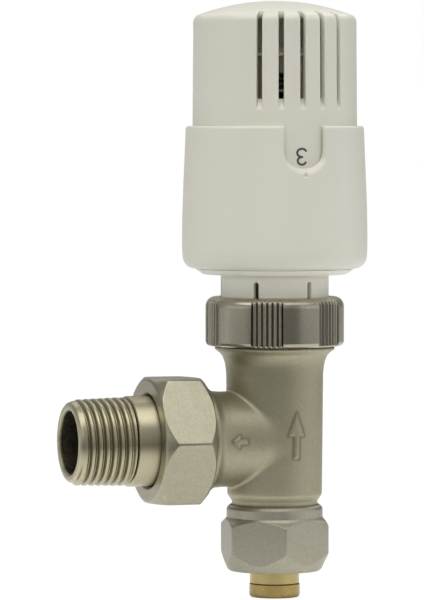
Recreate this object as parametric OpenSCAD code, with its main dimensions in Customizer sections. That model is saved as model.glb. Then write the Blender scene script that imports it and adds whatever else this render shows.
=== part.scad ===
// Angle thermostatic radiator valve: liquid-filled sensor head on a forged angle body,
// 1/2 in taper tail on a union nut, 15 mm compression inlet with a 10 mm reducer.
// Frame: origin at the mouth of the pipe socket, on the inlet axis. The tail points to -X,
// the index window faces -Y and +Z runs up through the sensor head. The sub-parts are drawn
// from the point where the inlet axis (Z) crosses the outlet axis (X), then set into the
// frame together. Millimetres.

/* [Temperature cap] */
// Outside diameter of the cap just under its shoulder
cap_d = 39.5; // [39:0.1:39.7]
// Height of the crown of the cap above the outlet axis
cap_top = 105.9; // [105.5:0.1:107]
// Spherical radius of the domed crown
dome_r = 53; // [50:1:60]
// Radius of the rounded shoulder between the side and the crown
shoulder_r = 2; // [1.6:0.1:2.2]
// Vent slots in one group
slot_count = 5; // [3:1:7]
// Angle between neighbouring vent slots
slot_pitch = 15.4; // [10:0.2:18]
// Width of a vent slot
slot_w = 1.3; // [0.8:0.1:2]

/* [Index collar] */
// Largest outside diameter of the collar
collar_d = 44.94; // [44.6:0.1:46]
// Diameter of the collar at its top edge
collar_top_d = 43.2; // [42.8:0.1:43.8]
// Height of the collar's top edge above the outlet axis
collar_top = 75.7; // [74:0.1:77]
// Width of the index window at the collar's surface
window_w = 11; // [9:0.1:12]

/* [Ring nut] */
// Outside diameter of the ring nut that clamps the head
ring_d = 33.6; // [33.2:0.1:35]
// Smooth pads round the ring nut
ring_pads = 6; // [4:1:8]
// Ribs between two pads
ring_ribs = 6; // [3:1:8]

/* [Valve body] */
// Outside diameter of the upright tube
tube_d = 23.4; // [23.2:0.1:25]
// Outside diameter of the outlet branch
branch_d = 23.1; // [22.6:0.1:23.1]
// Diameter of the seat bore
seat_d = 12.4; // [11.8:0.1:12.6]
// Major diameter of the metric thread for the head
head_thread_d = 29.7; // [29.5:0.05:29.8]

/* [Tail and union nut] */
// Outlet axis length from the valve's centre to the tail's end
tail_len = 52.5; // [52:0.5:58]
// Through bore of the tail
tail_bore = 15.1; // [13:0.1:15.4]
// Union nut across flats
union_af = 30; // [30:0.5:32]

/* [Inlet] */
// Compression nut across flats
comp_af = 24; // [23.6:0.1:25]
// Bore of the inlet socket for the plumbing pipe
pipe_bore = 10.1; // [8.1:0.1:10.2]

/* [Hidden] */
$fn = 96;

// Height of the outlet axis above the mouth of the pipe socket.
axis_height = 38.4;
bsp_pitch = 1.814;
metric_pitch = 1.5;

white = [0.90, 0.90, 0.87];
nickel = [0.72, 0.70, 0.65];
brass = [0.78, 0.62, 0.30];
steel = [0.66, 0.67, 0.68];
rubber = [0.09, 0.09, 0.09];
capsule_grey = [0.62, 0.60, 0.56];
rod_grey = [0.20, 0.20, 0.21];
washer_grey = [0.16, 0.16, 0.17];
ferrule_bronze = [0.74, 0.52, 0.30];

// ---------------------------------------------------------------- shared shapes
// Profiles are lists of [radius, height along the axis].

function polar(r, angle) = [r * cos(angle), r * sin(angle)];

// Points along an arc, in the given number of steps.
function arc(centre, r, from, to, steps) =
    [for (i = [0:steps]) centre + polar(r, from + (to - from) * i / steps)];

// A rectangular profile.
function box_profile(inner_r, outer_r, bottom, top) =
    [[inner_r, bottom], [outer_r, bottom], [outer_r, top], [inner_r, top]];

// Ridges of a turned thread as profile points. A negative pitch runs the other way, and
// the radius grows by growth at each ridge. flanks holds where each ridge leaves the root,
// gains the crest, leaves the crest and regains the root, as shares of the pitch.
function ridges(start, count, pitch, crest_r, depth, growth = 0,
                flanks = [0.1, 0.42, 0.58, 0.9]) =
    [for (k = [0:count - 1]) for (i = [0:3])
        let (on_crest = i == 1 || i == 2)
        [crest_r + growth * k - (on_crest ? 0 : depth), start + pitch * (k + flanks[i])]];

module lathe(points, colour) color(colour) rotate_extrude() polygon(points);

// Turns a shape drawn on +Z onto the outlet axis, towards -X.
module along_tail() rotate([0, -90, 0]) children();

// A round bar on the Z axis, from height z up.
module round_bar(r, h, z) translate([0, 0, z]) cylinder(r = r, h = h);

// A straight-sided hexagon bar on the Z axis, af across flats.
module hex_bar(af, h, z) translate([0, 0, z]) cylinder(r = af / 2 / cos(30), h = h, $fn = 6);

// Part of a ring of rectangular section, swept from the start angle.
module part_ring(inner_r, outer_r, bottom, top, start, sweep, colour)
    color(colour) rotate([0, 0, start]) rotate_extrude(angle = sweep)
        polygon(box_profile(inner_r, outer_r, bottom, top));

// Three bars across the axis, which cut six openings in a round wall.
module cross_slots(w, h, z, turn) for (a = [0:60:120])
    rotate([0, 0, a + turn]) translate([-15, -w / 2, z]) cube([30, w, h]);

// A ring of round section.
module o_ring(r, wire_r, z) color(rubber) translate([0, 0, z]) rotate_extrude()
    translate([r, 0]) circle(r = wire_r, $fn = 32);

// A coil spring of round wire with closed ends, swept as one closed polyhedron.
module coil(r, wire_r, bottom, top, turns) {
    sides = 8;
    per_turn = 26;
    steps = turns * per_turn;
    total = top - bottom - 2 * wire_r;
    // The end turns, each end_turns long, climb slightly less than the wire's thickness.
    end_turns = 0.8;
    end_pitch = 0.9 * 2 * wire_r;
    end_rise = end_pitch * end_turns;
    function rise(t) = t < end_turns ? end_pitch * t
        : t > turns - end_turns ? total - end_pitch * (turns - t)
        : end_rise + (total - 2 * end_rise) * (t - end_turns) / (turns - 2 * end_turns);
    points = [for (i = [0:steps])
        let (t = i / per_turn, centre_z = bottom + wire_r + rise(t))
        for (j = [0:sides - 1])
            let (section = polar(wire_r, 360 * j / sides),
                 ring_point = polar(r + section[0], 360 * t))
            [ring_point[0], ring_point[1], centre_z + section[1]]];
    wall = [for (i = [0:steps - 1]) for (j = [0:sides - 1])
        let (this = i * sides + j, next = i * sides + (j + 1) % sides)
        each [[this, this + sides, next], [next, this + sides, next + sides]]];
    ends = [[for (j = [0:sides - 1]) j], [for (j = [sides - 1:-1:0]) steps * sides + j]];
    color(steel) polyhedron(points, concat(wall, ends), convexity = 8);
}

// ---------------------------------------------------------------- sensor head

cap_r = cap_d / 2;
skirt_r = cap_r + 0.18;
cap_inner_r = cap_r - 1.95;
crown_thickness = 2.1;
shoulder_z = cap_top - 5.2;   // centre of the shoulder's arc
sleeve_r = 15.2;              // outside of the head base's sleeve
carrier_r = 13.15;
carrier_top = 92.45;
rib_angles = [30, 150, 270];  // carrier ribs and their guides
neck_flange_top = 31.5;
capsule_r = 11.3;
capsule_top = 82.05;
spring_cap_bottom = 90;
rod_r = 3;
rod_bottom = 38;              // rests on the spindle

// Height of a spherical crown of radius r at distance x from the axis.
function crown(top, r, x) = top - r + sqrt(r * r - x * x);

// One vent slot: a through cut with a sloped foot, which runs out as a groove over the shoulder.
module vent_slot(angle) {
    outer = cap_r + 3;
    inner = cap_r - 3.15;
    above = cap_top + 2;
    rotate([0, 0, angle]) rotate([90, 0, 0]) translate([0, 0, -slot_w / 2])
        linear_extrude(slot_w) polygon([[outer, 79.35], [skirt_r, 79.7], [cap_r - 2.25, 82.7],
            [inner, 82.7], [inner, above], [outer, above]]);
}

module temperature_cap() {
    skirt_bottom = 46.5;
    inside_top = cap_top - crown_thickness;
    groove_r = cap_inner_r + 0.8;
    difference() {
        lathe(concat(
            [[cap_inner_r, skirt_bottom], [skirt_r - 0.3, skirt_bottom],
             [skirt_r, skirt_bottom + 0.4], [skirt_r, 77], [cap_r, shoulder_z - 2]],
            arc([cap_r - shoulder_r, shoulder_z], shoulder_r, 0, 70, steps = 8),
            [for (x = [17.4:-1.45:0]) [x, crown(cap_top, dome_r, x)]],
            [[0, inside_top]],
            [for (x = [3:3.3:16]) [x, crown(inside_top, dome_r - crown_thickness, x)]],
            [[cap_inner_r - 1.2, shoulder_z + 1.15], [cap_inner_r, shoulder_z + 0.4],
             // groove for the retaining ring
             [cap_inner_r, 52.2], [groove_r, 52.2], [groove_r, 50], [cap_inner_r, 50]]), white);
        // two vent groups, one over the index and one behind
        for (side = [-90, 90], i = [0:slot_count - 1])
            vent_slot(side + (i - (slot_count - 1) / 2) * slot_pitch);
    }
    // travel stop inside the skirt
    part_ring(15.9, cap_inner_r + 0.3, 46.6, 49.4, start = -22.5, sweep = 45, colour = white);
}

// Cutter for the index window: sloped sides and a rounded, sloped foot.
module index_window() {
    half_w = window_w / 2;
    inner_y = -19;
    depth = 4.5;
    intersection() {
        translate([0, 0, 60]) linear_extrude(20)
            polygon([[-half_w + 1.0, inner_y], [half_w - 1.0, inner_y],
                     [half_w + 0.55, inner_y - depth], [-half_w - 0.55, inner_y - depth]]);
        union() {
            translate([0, inner_y, 72.1]) rotate([90, 0, 0])
                cylinder(r1 = 5.4, r2 = 8.7, h = depth);
            translate([-8, -24, 72]) cube([16, 6, 8]);
        }
    }
}

module index_collar() {
    top_r = collar_top_d / 2;
    big_r = collar_d / 2;
    edge_r = 0.75;
    inner_r = 20.25;
    bottom = 41.2;
    difference() {
        lathe(concat(
            [[inner_r, 44.6], [inner_r, collar_top]],
            arc([top_r - edge_r, collar_top - edge_r], edge_r, 90, 8, steps = 5),
            // the side, down to its widest
            [[top_r + 0.18, 69.7], [top_r + 0.34, 66.8], [big_r - 0.27, 61],
             [big_r - 0.12, 55.2], [big_r - 0.01, 50.8], [big_r, 46.4]],
            // rounded lower edge
            [[big_r - 0.05, 45.0], [big_r - 0.17, 43.9], [big_r - 0.38, 43.1],
             [big_r - 0.72, 42.45], [big_r - 1.2, 41.9], [big_r - 1.8, 41.5],
             [big_r - 2.5, 41.27]],
            // floor
            [[19.3, bottom], [15.4, bottom], [15.4, bottom + 2], [18.6, bottom + 2]]), white);
        index_window();
        // index mark, a small notch under the window
        translate([0, -21.2, 0]) rotate([90, 0, 0]) linear_extrude(2)
            polygon([[-0.75, 63.4], [0.75, 63.4], [0, 65.2]]);
    }
}

module head_base() {
    neck_inner_r = 11.3;
    neck_r = 13.1;
    flange_r = 14.4;
    groove_r = 14.6;
    sleeve_inner_r = carrier_r + 0.1;
    hole_r = rod_r + 0.1;
    guide_w = 3.4;
    difference() {
        union() {
            lathe([[neck_inner_r, 30.05], [flange_r, 30.05], [flange_r, neck_flange_top],
                [neck_r, neck_flange_top], [neck_r, 39.35], [13.5, 39.8],
                [17.2, 39.8], [17.9, 40.15], [18.5, 40.75], [18.6, 41.15], [sleeve_r, 41.15],
                [sleeve_r, 50.4], [groove_r, 50.4], [groove_r, 51.6], [sleeve_r, 51.6],
                [sleeve_r, 72], [sleeve_inner_r, 72], [sleeve_inner_r, 48],
                [hole_r, 48], [hole_r, 45], [neck_inner_r, 45]], white);
            // fixed stop that the cap's stop meets at both ends of its travel
            part_ring(15, 17.4, 43.4, 49.2, start = 113.5, sweep = 43, colour = white);
        }
        // six slots split the neck into gripping fingers
        cross_slots(w = 1.2, h = 9.2, z = 29, turn = -130);
        // guides for the carrier's ribs
        for (a = rib_angles)
            rotate([0, 0, a]) translate([12, -guide_w / 2, 58]) cube([5, guide_w, 15]);
    }
}

module cap_retaining_ring()
    part_ring(14.65, 18.35, 50.5, 51.45, start = 100, sweep = 325, colour = steel);

module sensor_carrier() {
    inner_r = 11.6;
    hole_r = 6.2;
    bottom = 56;
    floor_top = bottom + 2.5;
    rib_w = 3.1;
    difference() {
        union() {
            lathe([[hole_r, bottom], [carrier_r, bottom], [carrier_r, carrier_top],
                [inner_r, carrier_top], [inner_r, floor_top], [hole_r, floor_top]], white);
            for (a = rib_angles) color(white) rotate([0, 0, a])
                translate([12.4, -rib_w / 2, 62]) cube([5.05, rib_w, 6]);
        }
        // air windows round the sensor
        cross_slots(w = 8.4, h = 13.5, z = 75, turn = 20);
    }
}

module spring_cap() {
    plug_r = 11.5;
    flange_r = 16.2;
    flange_z = carrier_top + 0.05;
    lathe([[0, spring_cap_bottom], [plug_r, spring_cap_bottom], [plug_r, flange_z],
        [flange_r, flange_z], [flange_r, 93.1], [9, 93.1], [8, 94.6], [0, 94.6]], white);
}

module overtravel_spring()
    coil(r = 8.4, wire_r = 0.8, bottom = capsule_top + 0.05, top = spring_cap_bottom - 0.05,
         turns = 4);

module sensor_capsule() {
    bore_r = rod_r + 0.12;
    bore_top = 68.5;
    corner_r = 2;
    lathe(concat(
        [[bore_r, 54.2], [5.7, 54.2], [6.0, 54.6], [6.0, 58.55], [11.1, 58.55],
         [capsule_r, 58.8], [capsule_r, 77.6], [11.5, 77.8], [11.5, 79.2], [capsule_r, 79.4]],
        arc([capsule_r - corner_r, capsule_top - corner_r], corner_r, 0, 90, steps = 5),
        [[0, capsule_top], [0, bore_top], [bore_r, bore_top]]), capsule_grey);
}

module push_rod() lathe([[0, rod_bottom], [4.6, rod_bottom], [5.4, 38.6], [5.4, 40],
    [rod_r, 40.8], [rod_r, 66], [2.6, 66.5], [0, 66.5]], rod_grey);

// ---------------------------------------------------------------- ring nut

ring_r = ring_d / 2;
ring_lip_z = 32;  // underside of the lip over the neck flange

// Outline that cuts the ribs of one gap between pads, from angle 0 to gap.
function rib_cutter(gap) =
    let (rib = gap / ring_ribs,
         root_r = ring_r - 0.72,
         crest_r = ring_r - 0.22,
         clear_r = ring_r + 2)
    concat(
        [for (i = [0:ring_ribs - 1])
            each [polar(root_r, rib * i), polar(crest_r, rib * (i + 0.5))]],
        [polar(root_r, gap)],
        [for (a = [gap, gap / 2, 0]) polar(clear_r, a)]);

module ring_nut() {
    pad = 33;  // angle of one pad
    pad_pitch = 360 / ring_pads;
    bottom = 22.5;
    round_r = 2.2;
    round_h = 2.5;
    round_z = 31.9;
    difference() {
        lathe(concat(
            [[15.0, ring_lip_z], [15.0, bottom], [ring_r - 0.9, bottom],
             [ring_r - 0.25, 22.85], [ring_r, 23.5], [ring_r, round_z]],
            [for (a = [15:15:90])
                [ring_r - round_r + round_r * cos(a), round_z + round_h * sin(a)]],
            [[13.35, round_z + round_h], [13.35, ring_lip_z]]), nickel);
        for (k = [0:ring_pads - 1]) rotate([0, 0, -86.3 + pad / 2 + pad_pitch * k])
            translate([0, 0, 21]) linear_extrude(15) polygon(rib_cutter(pad_pitch - pad));
    }
}

module slip_washer()
    lathe(box_profile(13.2, 14.7, neck_flange_top + 0.04, ring_lip_z - 0.04), washer_grey);

// ---------------------------------------------------------------- valve body

tube_r = tube_d / 2;
branch_r = branch_d / 2;
seat_r = seat_d / 2;
branch_end = 28;
inlet_pipe_r = 7.5;       // outside of the 15 mm inlet pipe size
headwork_r = 9.9;
headwork_bore_r = headwork_r + 0.1;
nose_r = 8.95;            // nose of the tail, inside the branch
arrow_relief = 0.3;

// Outline of a flow arrow pointing to +X, drawn about its own centre.
module arrow(length, width) polygon([[-length / 2, -width / 6], [0, -width / 6],
    [0, -width / 2], [length / 2, 0], [0, width / 2], [0, width / 6],
    [-length / 2, width / 6]]);

// Upright tube, flared under the head thread, with the inlet thread below.
module upright_tube() lathe(concat(
    [[0, -22], [9.0, -22]],
    ridges(-21.9, 3, bsp_pitch, crest_r = 10.4, depth = 1.05),
    [[9.5, -16.1], [10.1, -15.2], [10.15, -14.75], [11.2, -13.6], [11.45, -13.2],
     [11.5, -12.6], [tube_r, 8], [tube_r + 0.06, 15.5], [tube_r + 0.2, 17.1],
     [12.05, 18.1], [12.3, 19.0], [12.65, 19.9], [13.15, 20.6], [13.9, 21.2],
     [14.5, 21.6], [14.55, 22.1], [13.9, 22.3]],
    ridges(22.45, 5, metric_pitch, crest_r = head_thread_d / 2, depth = 0.9),
    [[13.95, 30], [0, 30]]), nickel);

// Outlet branch with the union thread.
module outlet_branch() along_tail() lathe(concat(
    [[0, 0], [branch_r, 0], [branch_r, 14.5], [branch_r + 0.2, 16.6],
     [12.4, 17.6], [12.85, 18.1], [12.9, 18.4], [12.9, 19.3], [12.2, 19.6]],
    ridges(19.9, 4, bsp_pitch, crest_r = 13.15, depth = 1.1),
    [[12.2, branch_end], [0, branch_end]]), nickel);

// Raised arrow on the -Y side of the branch, pointing to -X.
module branch_arrow() color(nickel) intersection() {
    along_tail() cylinder(r = branch_r + arrow_relief, h = 18);
    translate([-12.9, 0, 0]) rotate([90, 0, 0]) rotate([0, 0, 180])
        linear_extrude(14) arrow(3.6, 2.6);
}

// Raised arrow near the -Y side of the tube, pointing up.
module tube_arrow() color(nickel) intersection() {
    round_bar(r = tube_r + arrow_relief, h = 34, z = -14);
    rotate([0, 0, 7]) translate([0, 0, 1.2]) rotate([90, 0, 0]) rotate([0, 0, 90])
        linear_extrude(14) arrow(11, 3.4);
}

module valve_body() difference() {
    union() {
        upright_tube();
        outlet_branch();
        branch_arrow();
        tube_arrow();
    }
    // socket, mouth cone and seat bore
    round_bar(r = inlet_pipe_r + 0.05, h = 13, z = -23);
    translate([0, 0, -22.01]) cylinder(r1 = 8.6, r2 = 7.2, h = 1.4);
    round_bar(r = seat_r, h = 10, z = -11);
    // chamber round a raised seat, then the headwork bore
    lathe([[seat_r + 1.1, -3.6], [seat_r + 1.6, -5.2], [9.4, -5.2], [9.4, 9.6],
        [headwork_bore_r, 10.4], [headwork_bore_r, 31], [0, 31], [0, -3.6]], nickel);
    // outlet bore and the counterbore for the tail's nose
    along_tail() round_bar(r = 7.9, h = 22, z = 8.6);
    along_tail() round_bar(r = nose_r + 0.1, h = 6, z = 23.6);
}

// ---------------------------------------------------------------- headwork and plug

spindle_r = 1.5;
spindle_hole_r = spindle_r + 0.1;
plug_hole_r = spindle_r + 0.02;
clip_groove_r = 1.2;
clip_groove = [19.3, 20];         // bottom and top
headwork_groove = [14.2, 16.4];   // bottom and top
headwork_cavity_r = 6.8;
bush_flange_top = 13.6;
plug_nut_bottom = -3.5;

module headwork() difference() {
    union() {
        lathe([[0, 12], [9.6, 12], [headwork_r, 12.4], [headwork_r, headwork_groove[0]],
            [8.75, headwork_groove[0]], [8.75, headwork_groove[1]],
            [headwork_r, headwork_groove[1]], [headwork_r, 25.5], [0, 25.5]], brass);
        color(brass) hex_bar(af = 17, h = 3, z = 25.4);
    }
    // spring cavity, spindle hole, gland seal recess and gland nut socket
    round_bar(r = headwork_cavity_r, h = 10.5, z = 11);
    round_bar(r = spindle_hole_r, h = 4, z = 20);
    round_bar(r = 3.2, h = 3, z = 22.6);
    round_bar(r = 4.65, h = 5, z = 24.5);
}

module headwork_oring()
    o_ring(r = 9.37, wire_r = 0.6, z = (headwork_groove[0] + headwork_groove[1]) / 2);

module gland_nut() {
    hex_bottom = 28.5;
    hex_h = 3.4;
    hex_top = hex_bottom + hex_h;
    difference() {
        union() {
            color(brass) round_bar(r = 4.58, h = 4.2, z = 24.55);
            // hexagon, chamfered at the top
            color(brass) intersection() {
                hex_bar(af = 13, h = hex_h, z = hex_bottom);
                lathe([[0, hex_bottom], [7.6, hex_bottom], [7.6, 31.2], [6.6, hex_top],
                    [0, hex_top]], brass);
            }
        }
        round_bar(r = spindle_hole_r, h = 9, z = 24);
    }
}

module gland_oring() o_ring(r = 2.36, wire_r = 0.78, z = 23.5);

module guide_bush() {
    flange_r = headwork_cavity_r - 0.04;
    lathe([[spindle_hole_r, 12.05], [flange_r, 12.05], [flange_r, bush_flange_top],
        [2.4, bush_flange_top], [2.2, 14.6], [spindle_hole_r, 14.6]], brass);
}

module spindle() lathe([[0, plug_nut_bottom], [1.3, plug_nut_bottom], [spindle_r, -3.2],
    [spindle_r, clip_groove[0]], [clip_groove_r, clip_groove[0]],
    [clip_groove_r, clip_groove[1]], [spindle_r, clip_groove[1]],
    [spindle_r, 37.5], [1.1, rod_bottom], [0, rod_bottom]], steel);

module spindle_clip()
    part_ring(clip_groove_r + 0.02, 5.2, clip_groove[0] + 0.05, clip_groove[1] - 0.05,
              start = 40, sweep = 300, colour = steel);

module return_spring()
    coil(r = 4.2, wire_r = 0.42, bottom = bush_flange_top + 0.05, top = clip_groove[0],
         turns = 5);

module plug_holder() lathe([[plug_hole_r, 1.0], [7.85, 1.0], [7.85, -0.2], [8.5, -0.2],
    [8.5, 2.6], [8.1, 3.0], [3.4, 3.0], [3.2, 6], [plug_hole_r, 6]], brass);

module plug_washer() lathe([[plug_hole_r, -1.45], [7.5, -1.45], [7.8, -1.15], [7.8, 0.95],
    [plug_hole_r, 0.95]], rubber);

module plug_nut() difference() {
    color(brass) hex_bar(af = 5.5, h = 2, z = plug_nut_bottom);
    round_bar(r = plug_hole_r, h = 3, z = -4);
}

// ---------------------------------------------------------------- tail and union nut

nose_groove = [25.4, 27.5];  // near and far ends, from the valve's centre
tail_body_r = 10.9;

module tail_piece() {
    bore_r = tail_bore / 2;
    collar_near = branch_end + 0.05;
    groove_r = 8.0;
    thread_start = tail_len - 1.2;
    along_tail() lathe(concat(
        [[bore_r, tail_len - 0.6], [bore_r + 0.5, tail_len], [9.15, tail_len],
         [9.75, tail_len - 0.55], [10.1, thread_start]],
        // taper thread: the radius grows by 1 in 32
        ridges(thread_start, 7, -bsp_pitch, crest_r = 10.28, depth = 1.12,
               growth = bsp_pitch / 32, flanks = [0.05, 0.36, 0.6, 0.92]),
        [[9.6, tail_len - 14.1], [tail_body_r, tail_len - 14.6], [tail_body_r, 30.6],
         [12.4, 30.45], [12.9, 30], [12.9, collar_near], [nose_r, collar_near],
         [nose_r, nose_groove[1]], [groove_r, nose_groove[1]],
         [groove_r, nose_groove[0]], [nose_r, nose_groove[0]],
         [nose_r, 24.6], [8.5, 24], [bore_r, 24]]), nickel);
    // two lugs for a radiator spanner
    for (turn = [0, 180]) color(nickel) rotate([turn, 0, 0])
        translate([3 - tail_len, -1.1, bore_r - 1.3]) cube([5, 2.2, 1.8]);
}

module union_oring() along_tail()
    o_ring(r = 8.52, wire_r = 0.5, z = (nose_groove[0] + nose_groove[1]) / 2);

module union_nut() {
    near = 19.5;
    nut_h = 13.3;
    far = near + nut_h;
    flat_r = union_af / 2;
    hole_r = tail_body_r + 0.2;
    difference() {
        // hexagon, chamfered at both ends
        intersection() {
            color(nickel) along_tail() rotate([0, 0, 90]) hex_bar(union_af, nut_h, near);
            along_tail() lathe([[0, near], [14.5, near], [14.9, 19.65], [flat_r + 2.5, 22.4],
                [flat_r + 2.5, 30], [flat_r + 0.1, 32.6], [flat_r - 0.2, far],
                [0, far]], nickel);
        }
        // thread bore, tail hole and its countersink
        along_tail() round_bar(r = 13.3, h = 11.7, z = 19);
        along_tail() round_bar(r = hole_r, h = 4, z = 30);
        along_tail() translate([0, 0, 32.3]) cylinder(r1 = hole_r, r2 = 11.7, h = 0.6);
    }
}

// ---------------------------------------------------------------- inlet

module compression_nut() {
    flat_r = comp_af / 2;
    collar_r = 11.68;
    bottom = -32.1;
    thread_bore_r = 10.55;
    pipe_hole_r = inlet_pipe_r + 0.15;
    difference() {
        union() {
            // turned collar
            lathe([[0, -20], [collar_r, -20], [collar_r, -17.1], [11.4, -16.5],
                [10.8, -16], [0, -16]], nickel);
            // hexagon, chamfered at both ends
            color(nickel) intersection() {
                rotate([0, 0, -98.4]) hex_bar(comp_af, 12.9, bottom);
                lathe([[0, bottom], [10.9, bottom], [11.4, -31.7], [11.8, -30.7],
                    [flat_r + 0.3, -29.6], [flat_r + 2.0, -27.2], [flat_r + 2.0, -21.2],
                    [flat_r, -19.6], [collar_r, -19.3], [0, -19.3]], nickel);
            }
        }
        // thread bore, cone for the olive and pipe hole
        round_bar(r = thread_bore_r, h = 8, z = -22.9);
        translate([0, 0, -25.8]) cylinder(r1 = pipe_hole_r, r2 = thread_bore_r, h = 2.91);
        round_bar(r = pipe_hole_r, h = 8, z = -33);
    }
}

module olive() {
    inner_r = inlet_pipe_r + 0.02;
    lathe([[inner_r, -21.15], [7.6, -21.15], [8.5, -22.1], [9.4, -23.0], [9.4, -23.4],
        [9.1, -24.1], [7.8, -25.4], [inner_r, -25.4]], brass);
}

reducer_spigot_r = 5.5;

module pipe_reducer() {
    bore_r = pipe_bore / 2;
    throat_r = bore_r - 0.55;
    lathe([[bore_r, -axis_height], [reducer_spigot_r, -axis_height],
        [reducer_spigot_r, -35.25], [5.8, -35.1], [5.98, -34.9], [5.98, -32], [7.2, -32],
        [inlet_pipe_r, -31.7], [inlet_pipe_r, -11.5], [7.0, -11],
        [throat_r, -11], [throat_r, -16], [bore_r, -16]], brass);
}

module reducer_ferrule() {
    inner_r = reducer_spigot_r + 0.03;
    lathe([[inner_r, -35.3], [5.9, -35.3], [6.12, -35.55], [6.15, -37.7], [6.0, -38.2],
        [5.8, -38.5], [inner_r, -38.6]], ferrule_bronze);
}

// Sets a sub-part into the frame.
module placed() translate([0, 0, axis_height]) children();

placed() temperature_cap();
placed() index_collar();
placed() head_base();
placed() cap_retaining_ring();
placed() sensor_carrier();
placed() spring_cap();
placed() overtravel_spring();
placed() sensor_capsule();
placed() push_rod();
placed() ring_nut();
placed() slip_washer();
placed() valve_body();
placed() headwork();
placed() headwork_oring();
placed() gland_nut();
placed() gland_oring();
placed() spindle();
placed() spindle_clip();
placed() guide_bush();
placed() return_spring();
placed() plug_holder();
placed() plug_washer();
placed() plug_nut();
placed() tail_piece();
placed() union_oring();
placed() union_nut();
placed() compression_nut();
placed() olive();
placed() pipe_reducer();
placed() reducer_ferrule();
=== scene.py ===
"""A thermostatic radiator valve: a white head on an angled nickel-plated valve body.

The head and the inlet pipe stand on the Z axis, the tail piece runs out along -X and the
head's window faces -Y. Shapes are written in millimetres from the crossing of the two pipe
axes, which stands LIFT above the frame's origin.
"""

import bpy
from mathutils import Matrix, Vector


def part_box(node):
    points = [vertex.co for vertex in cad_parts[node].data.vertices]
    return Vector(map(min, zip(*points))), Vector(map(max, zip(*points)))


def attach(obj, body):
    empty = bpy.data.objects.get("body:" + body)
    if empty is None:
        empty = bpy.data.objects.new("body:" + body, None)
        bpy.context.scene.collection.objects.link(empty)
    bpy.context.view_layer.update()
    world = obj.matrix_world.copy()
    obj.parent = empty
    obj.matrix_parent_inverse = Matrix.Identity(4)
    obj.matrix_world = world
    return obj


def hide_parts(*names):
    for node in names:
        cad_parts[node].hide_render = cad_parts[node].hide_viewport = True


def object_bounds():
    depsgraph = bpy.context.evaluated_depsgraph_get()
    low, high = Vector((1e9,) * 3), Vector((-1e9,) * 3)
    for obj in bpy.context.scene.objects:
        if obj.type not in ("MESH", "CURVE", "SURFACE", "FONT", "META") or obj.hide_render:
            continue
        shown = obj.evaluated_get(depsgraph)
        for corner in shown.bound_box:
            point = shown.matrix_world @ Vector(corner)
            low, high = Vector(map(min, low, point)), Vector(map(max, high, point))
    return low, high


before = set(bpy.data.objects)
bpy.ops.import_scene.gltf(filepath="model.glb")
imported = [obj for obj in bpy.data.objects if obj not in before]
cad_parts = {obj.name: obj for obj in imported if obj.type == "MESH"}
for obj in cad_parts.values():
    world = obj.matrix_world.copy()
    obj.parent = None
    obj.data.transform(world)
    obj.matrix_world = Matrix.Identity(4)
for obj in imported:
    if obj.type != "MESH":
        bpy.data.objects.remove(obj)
cad_bounds = [list(map(float, v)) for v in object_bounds()]

import math
import bpy
import bmesh
import numpy as np
from mathutils import Vector

MM = 0.001
TAU = 2 * math.pi
PITCH = 1.814               # inlet, union and tail threads

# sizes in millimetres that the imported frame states
_, cap_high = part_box("temperature_cap")
nut_low, nut_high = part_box("union_nut")
LIFT = round(nut_low.z / MM / 2 + nut_high.z / MM / 2, 3)
CAP_TOP = round(cap_high.z / MM, 3) - LIFT
SKIRT_R = round(cap_high.x / MM, 3)
TAIL = round(-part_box("tail_piece")[0].x / MM, 3)
UP = np.array([0.0, 0.0, LIFT])


# ------------------------------------------------------------------ profile tools

def wrapped(angle):
    """The angle brought into -pi to pi."""
    return (angle + math.pi) % TAU - math.pi


def rounded(points, steps=3):
    """A closed profile of (r, h, fillet) with each filleted corner as steps + 1 points.
    The count doesn't depend on the shape, so the columns of a loft keep in step."""
    out = []
    for i, point in enumerate(points):
        fillet = point[2] if len(point) > 2 else 0
        if not fillet:
            out.append((point[0], point[1]))
            continue
        corner = np.array(point[:2], float)
        back = np.array(points[i - 1][:2], float) - corner
        ahead = np.array(points[(i + 1) % len(points)][:2], float) - corner
        back_len, ahead_len = np.linalg.norm(back), np.linalg.norm(ahead)
        back, ahead = back / max(back_len, 1e-9), ahead / max(ahead_len, 1e-9)
        half = math.acos(float(np.clip(back @ ahead, -1, 1))) / 2
        if half > math.radians(88.5):       # almost straight: points along both sides
            reach = min(0.05, 0.2 * back_len, 0.2 * ahead_len)
            for k in range(steps + 1):
                s = -1 + 2 * k / steps
                out.append(tuple(corner + (back * -s * reach if s < 0 else ahead * s * reach)))
            continue
        reach = min(fillet / math.tan(half), 0.45 * back_len, 0.45 * ahead_len)
        radius = reach * math.tan(half)
        middle = (back + ahead) / np.linalg.norm(back + ahead)
        centre = corner + middle * (radius / math.sin(half))
        start = corner + back * reach - centre
        end = corner + ahead * reach - centre
        start_angle = math.atan2(start[1], start[0])
        sweep = wrapped(math.atan2(end[1], end[0]) - start_angle)
        for k in range(steps + 1):
            angle = start_angle + sweep * k / steps
            out.append((centre[0] + radius * math.cos(angle),
                        centre[1] + radius * math.sin(angle)))
    return np.array(out, float)


def arc(centre_r, centre_h, radius, degrees):
    return [(centre_r + radius * math.cos(math.radians(a)),
             centre_h + radius * math.sin(math.radians(a))) for a in degrees]


def spline_point(points, k, t):
    """The Catmull-Rom curve at fraction t between points k and k + 1."""
    a, b = points[max(k - 1, 0)], points[k]
    c, d = points[k + 1], points[min(k + 2, len(points) - 1)]
    return 0.5 * ((2 * b) + (-a + c) * t + (2 * a - 5 * b + 4 * c - d) * t * t
                  + (-a + 3 * b - 3 * c + d) * t ** 3)


def arc_lengths(line):
    return np.concatenate([[0], np.cumsum(np.hypot(*(line[1:] - line[:-1]).T))])


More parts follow.
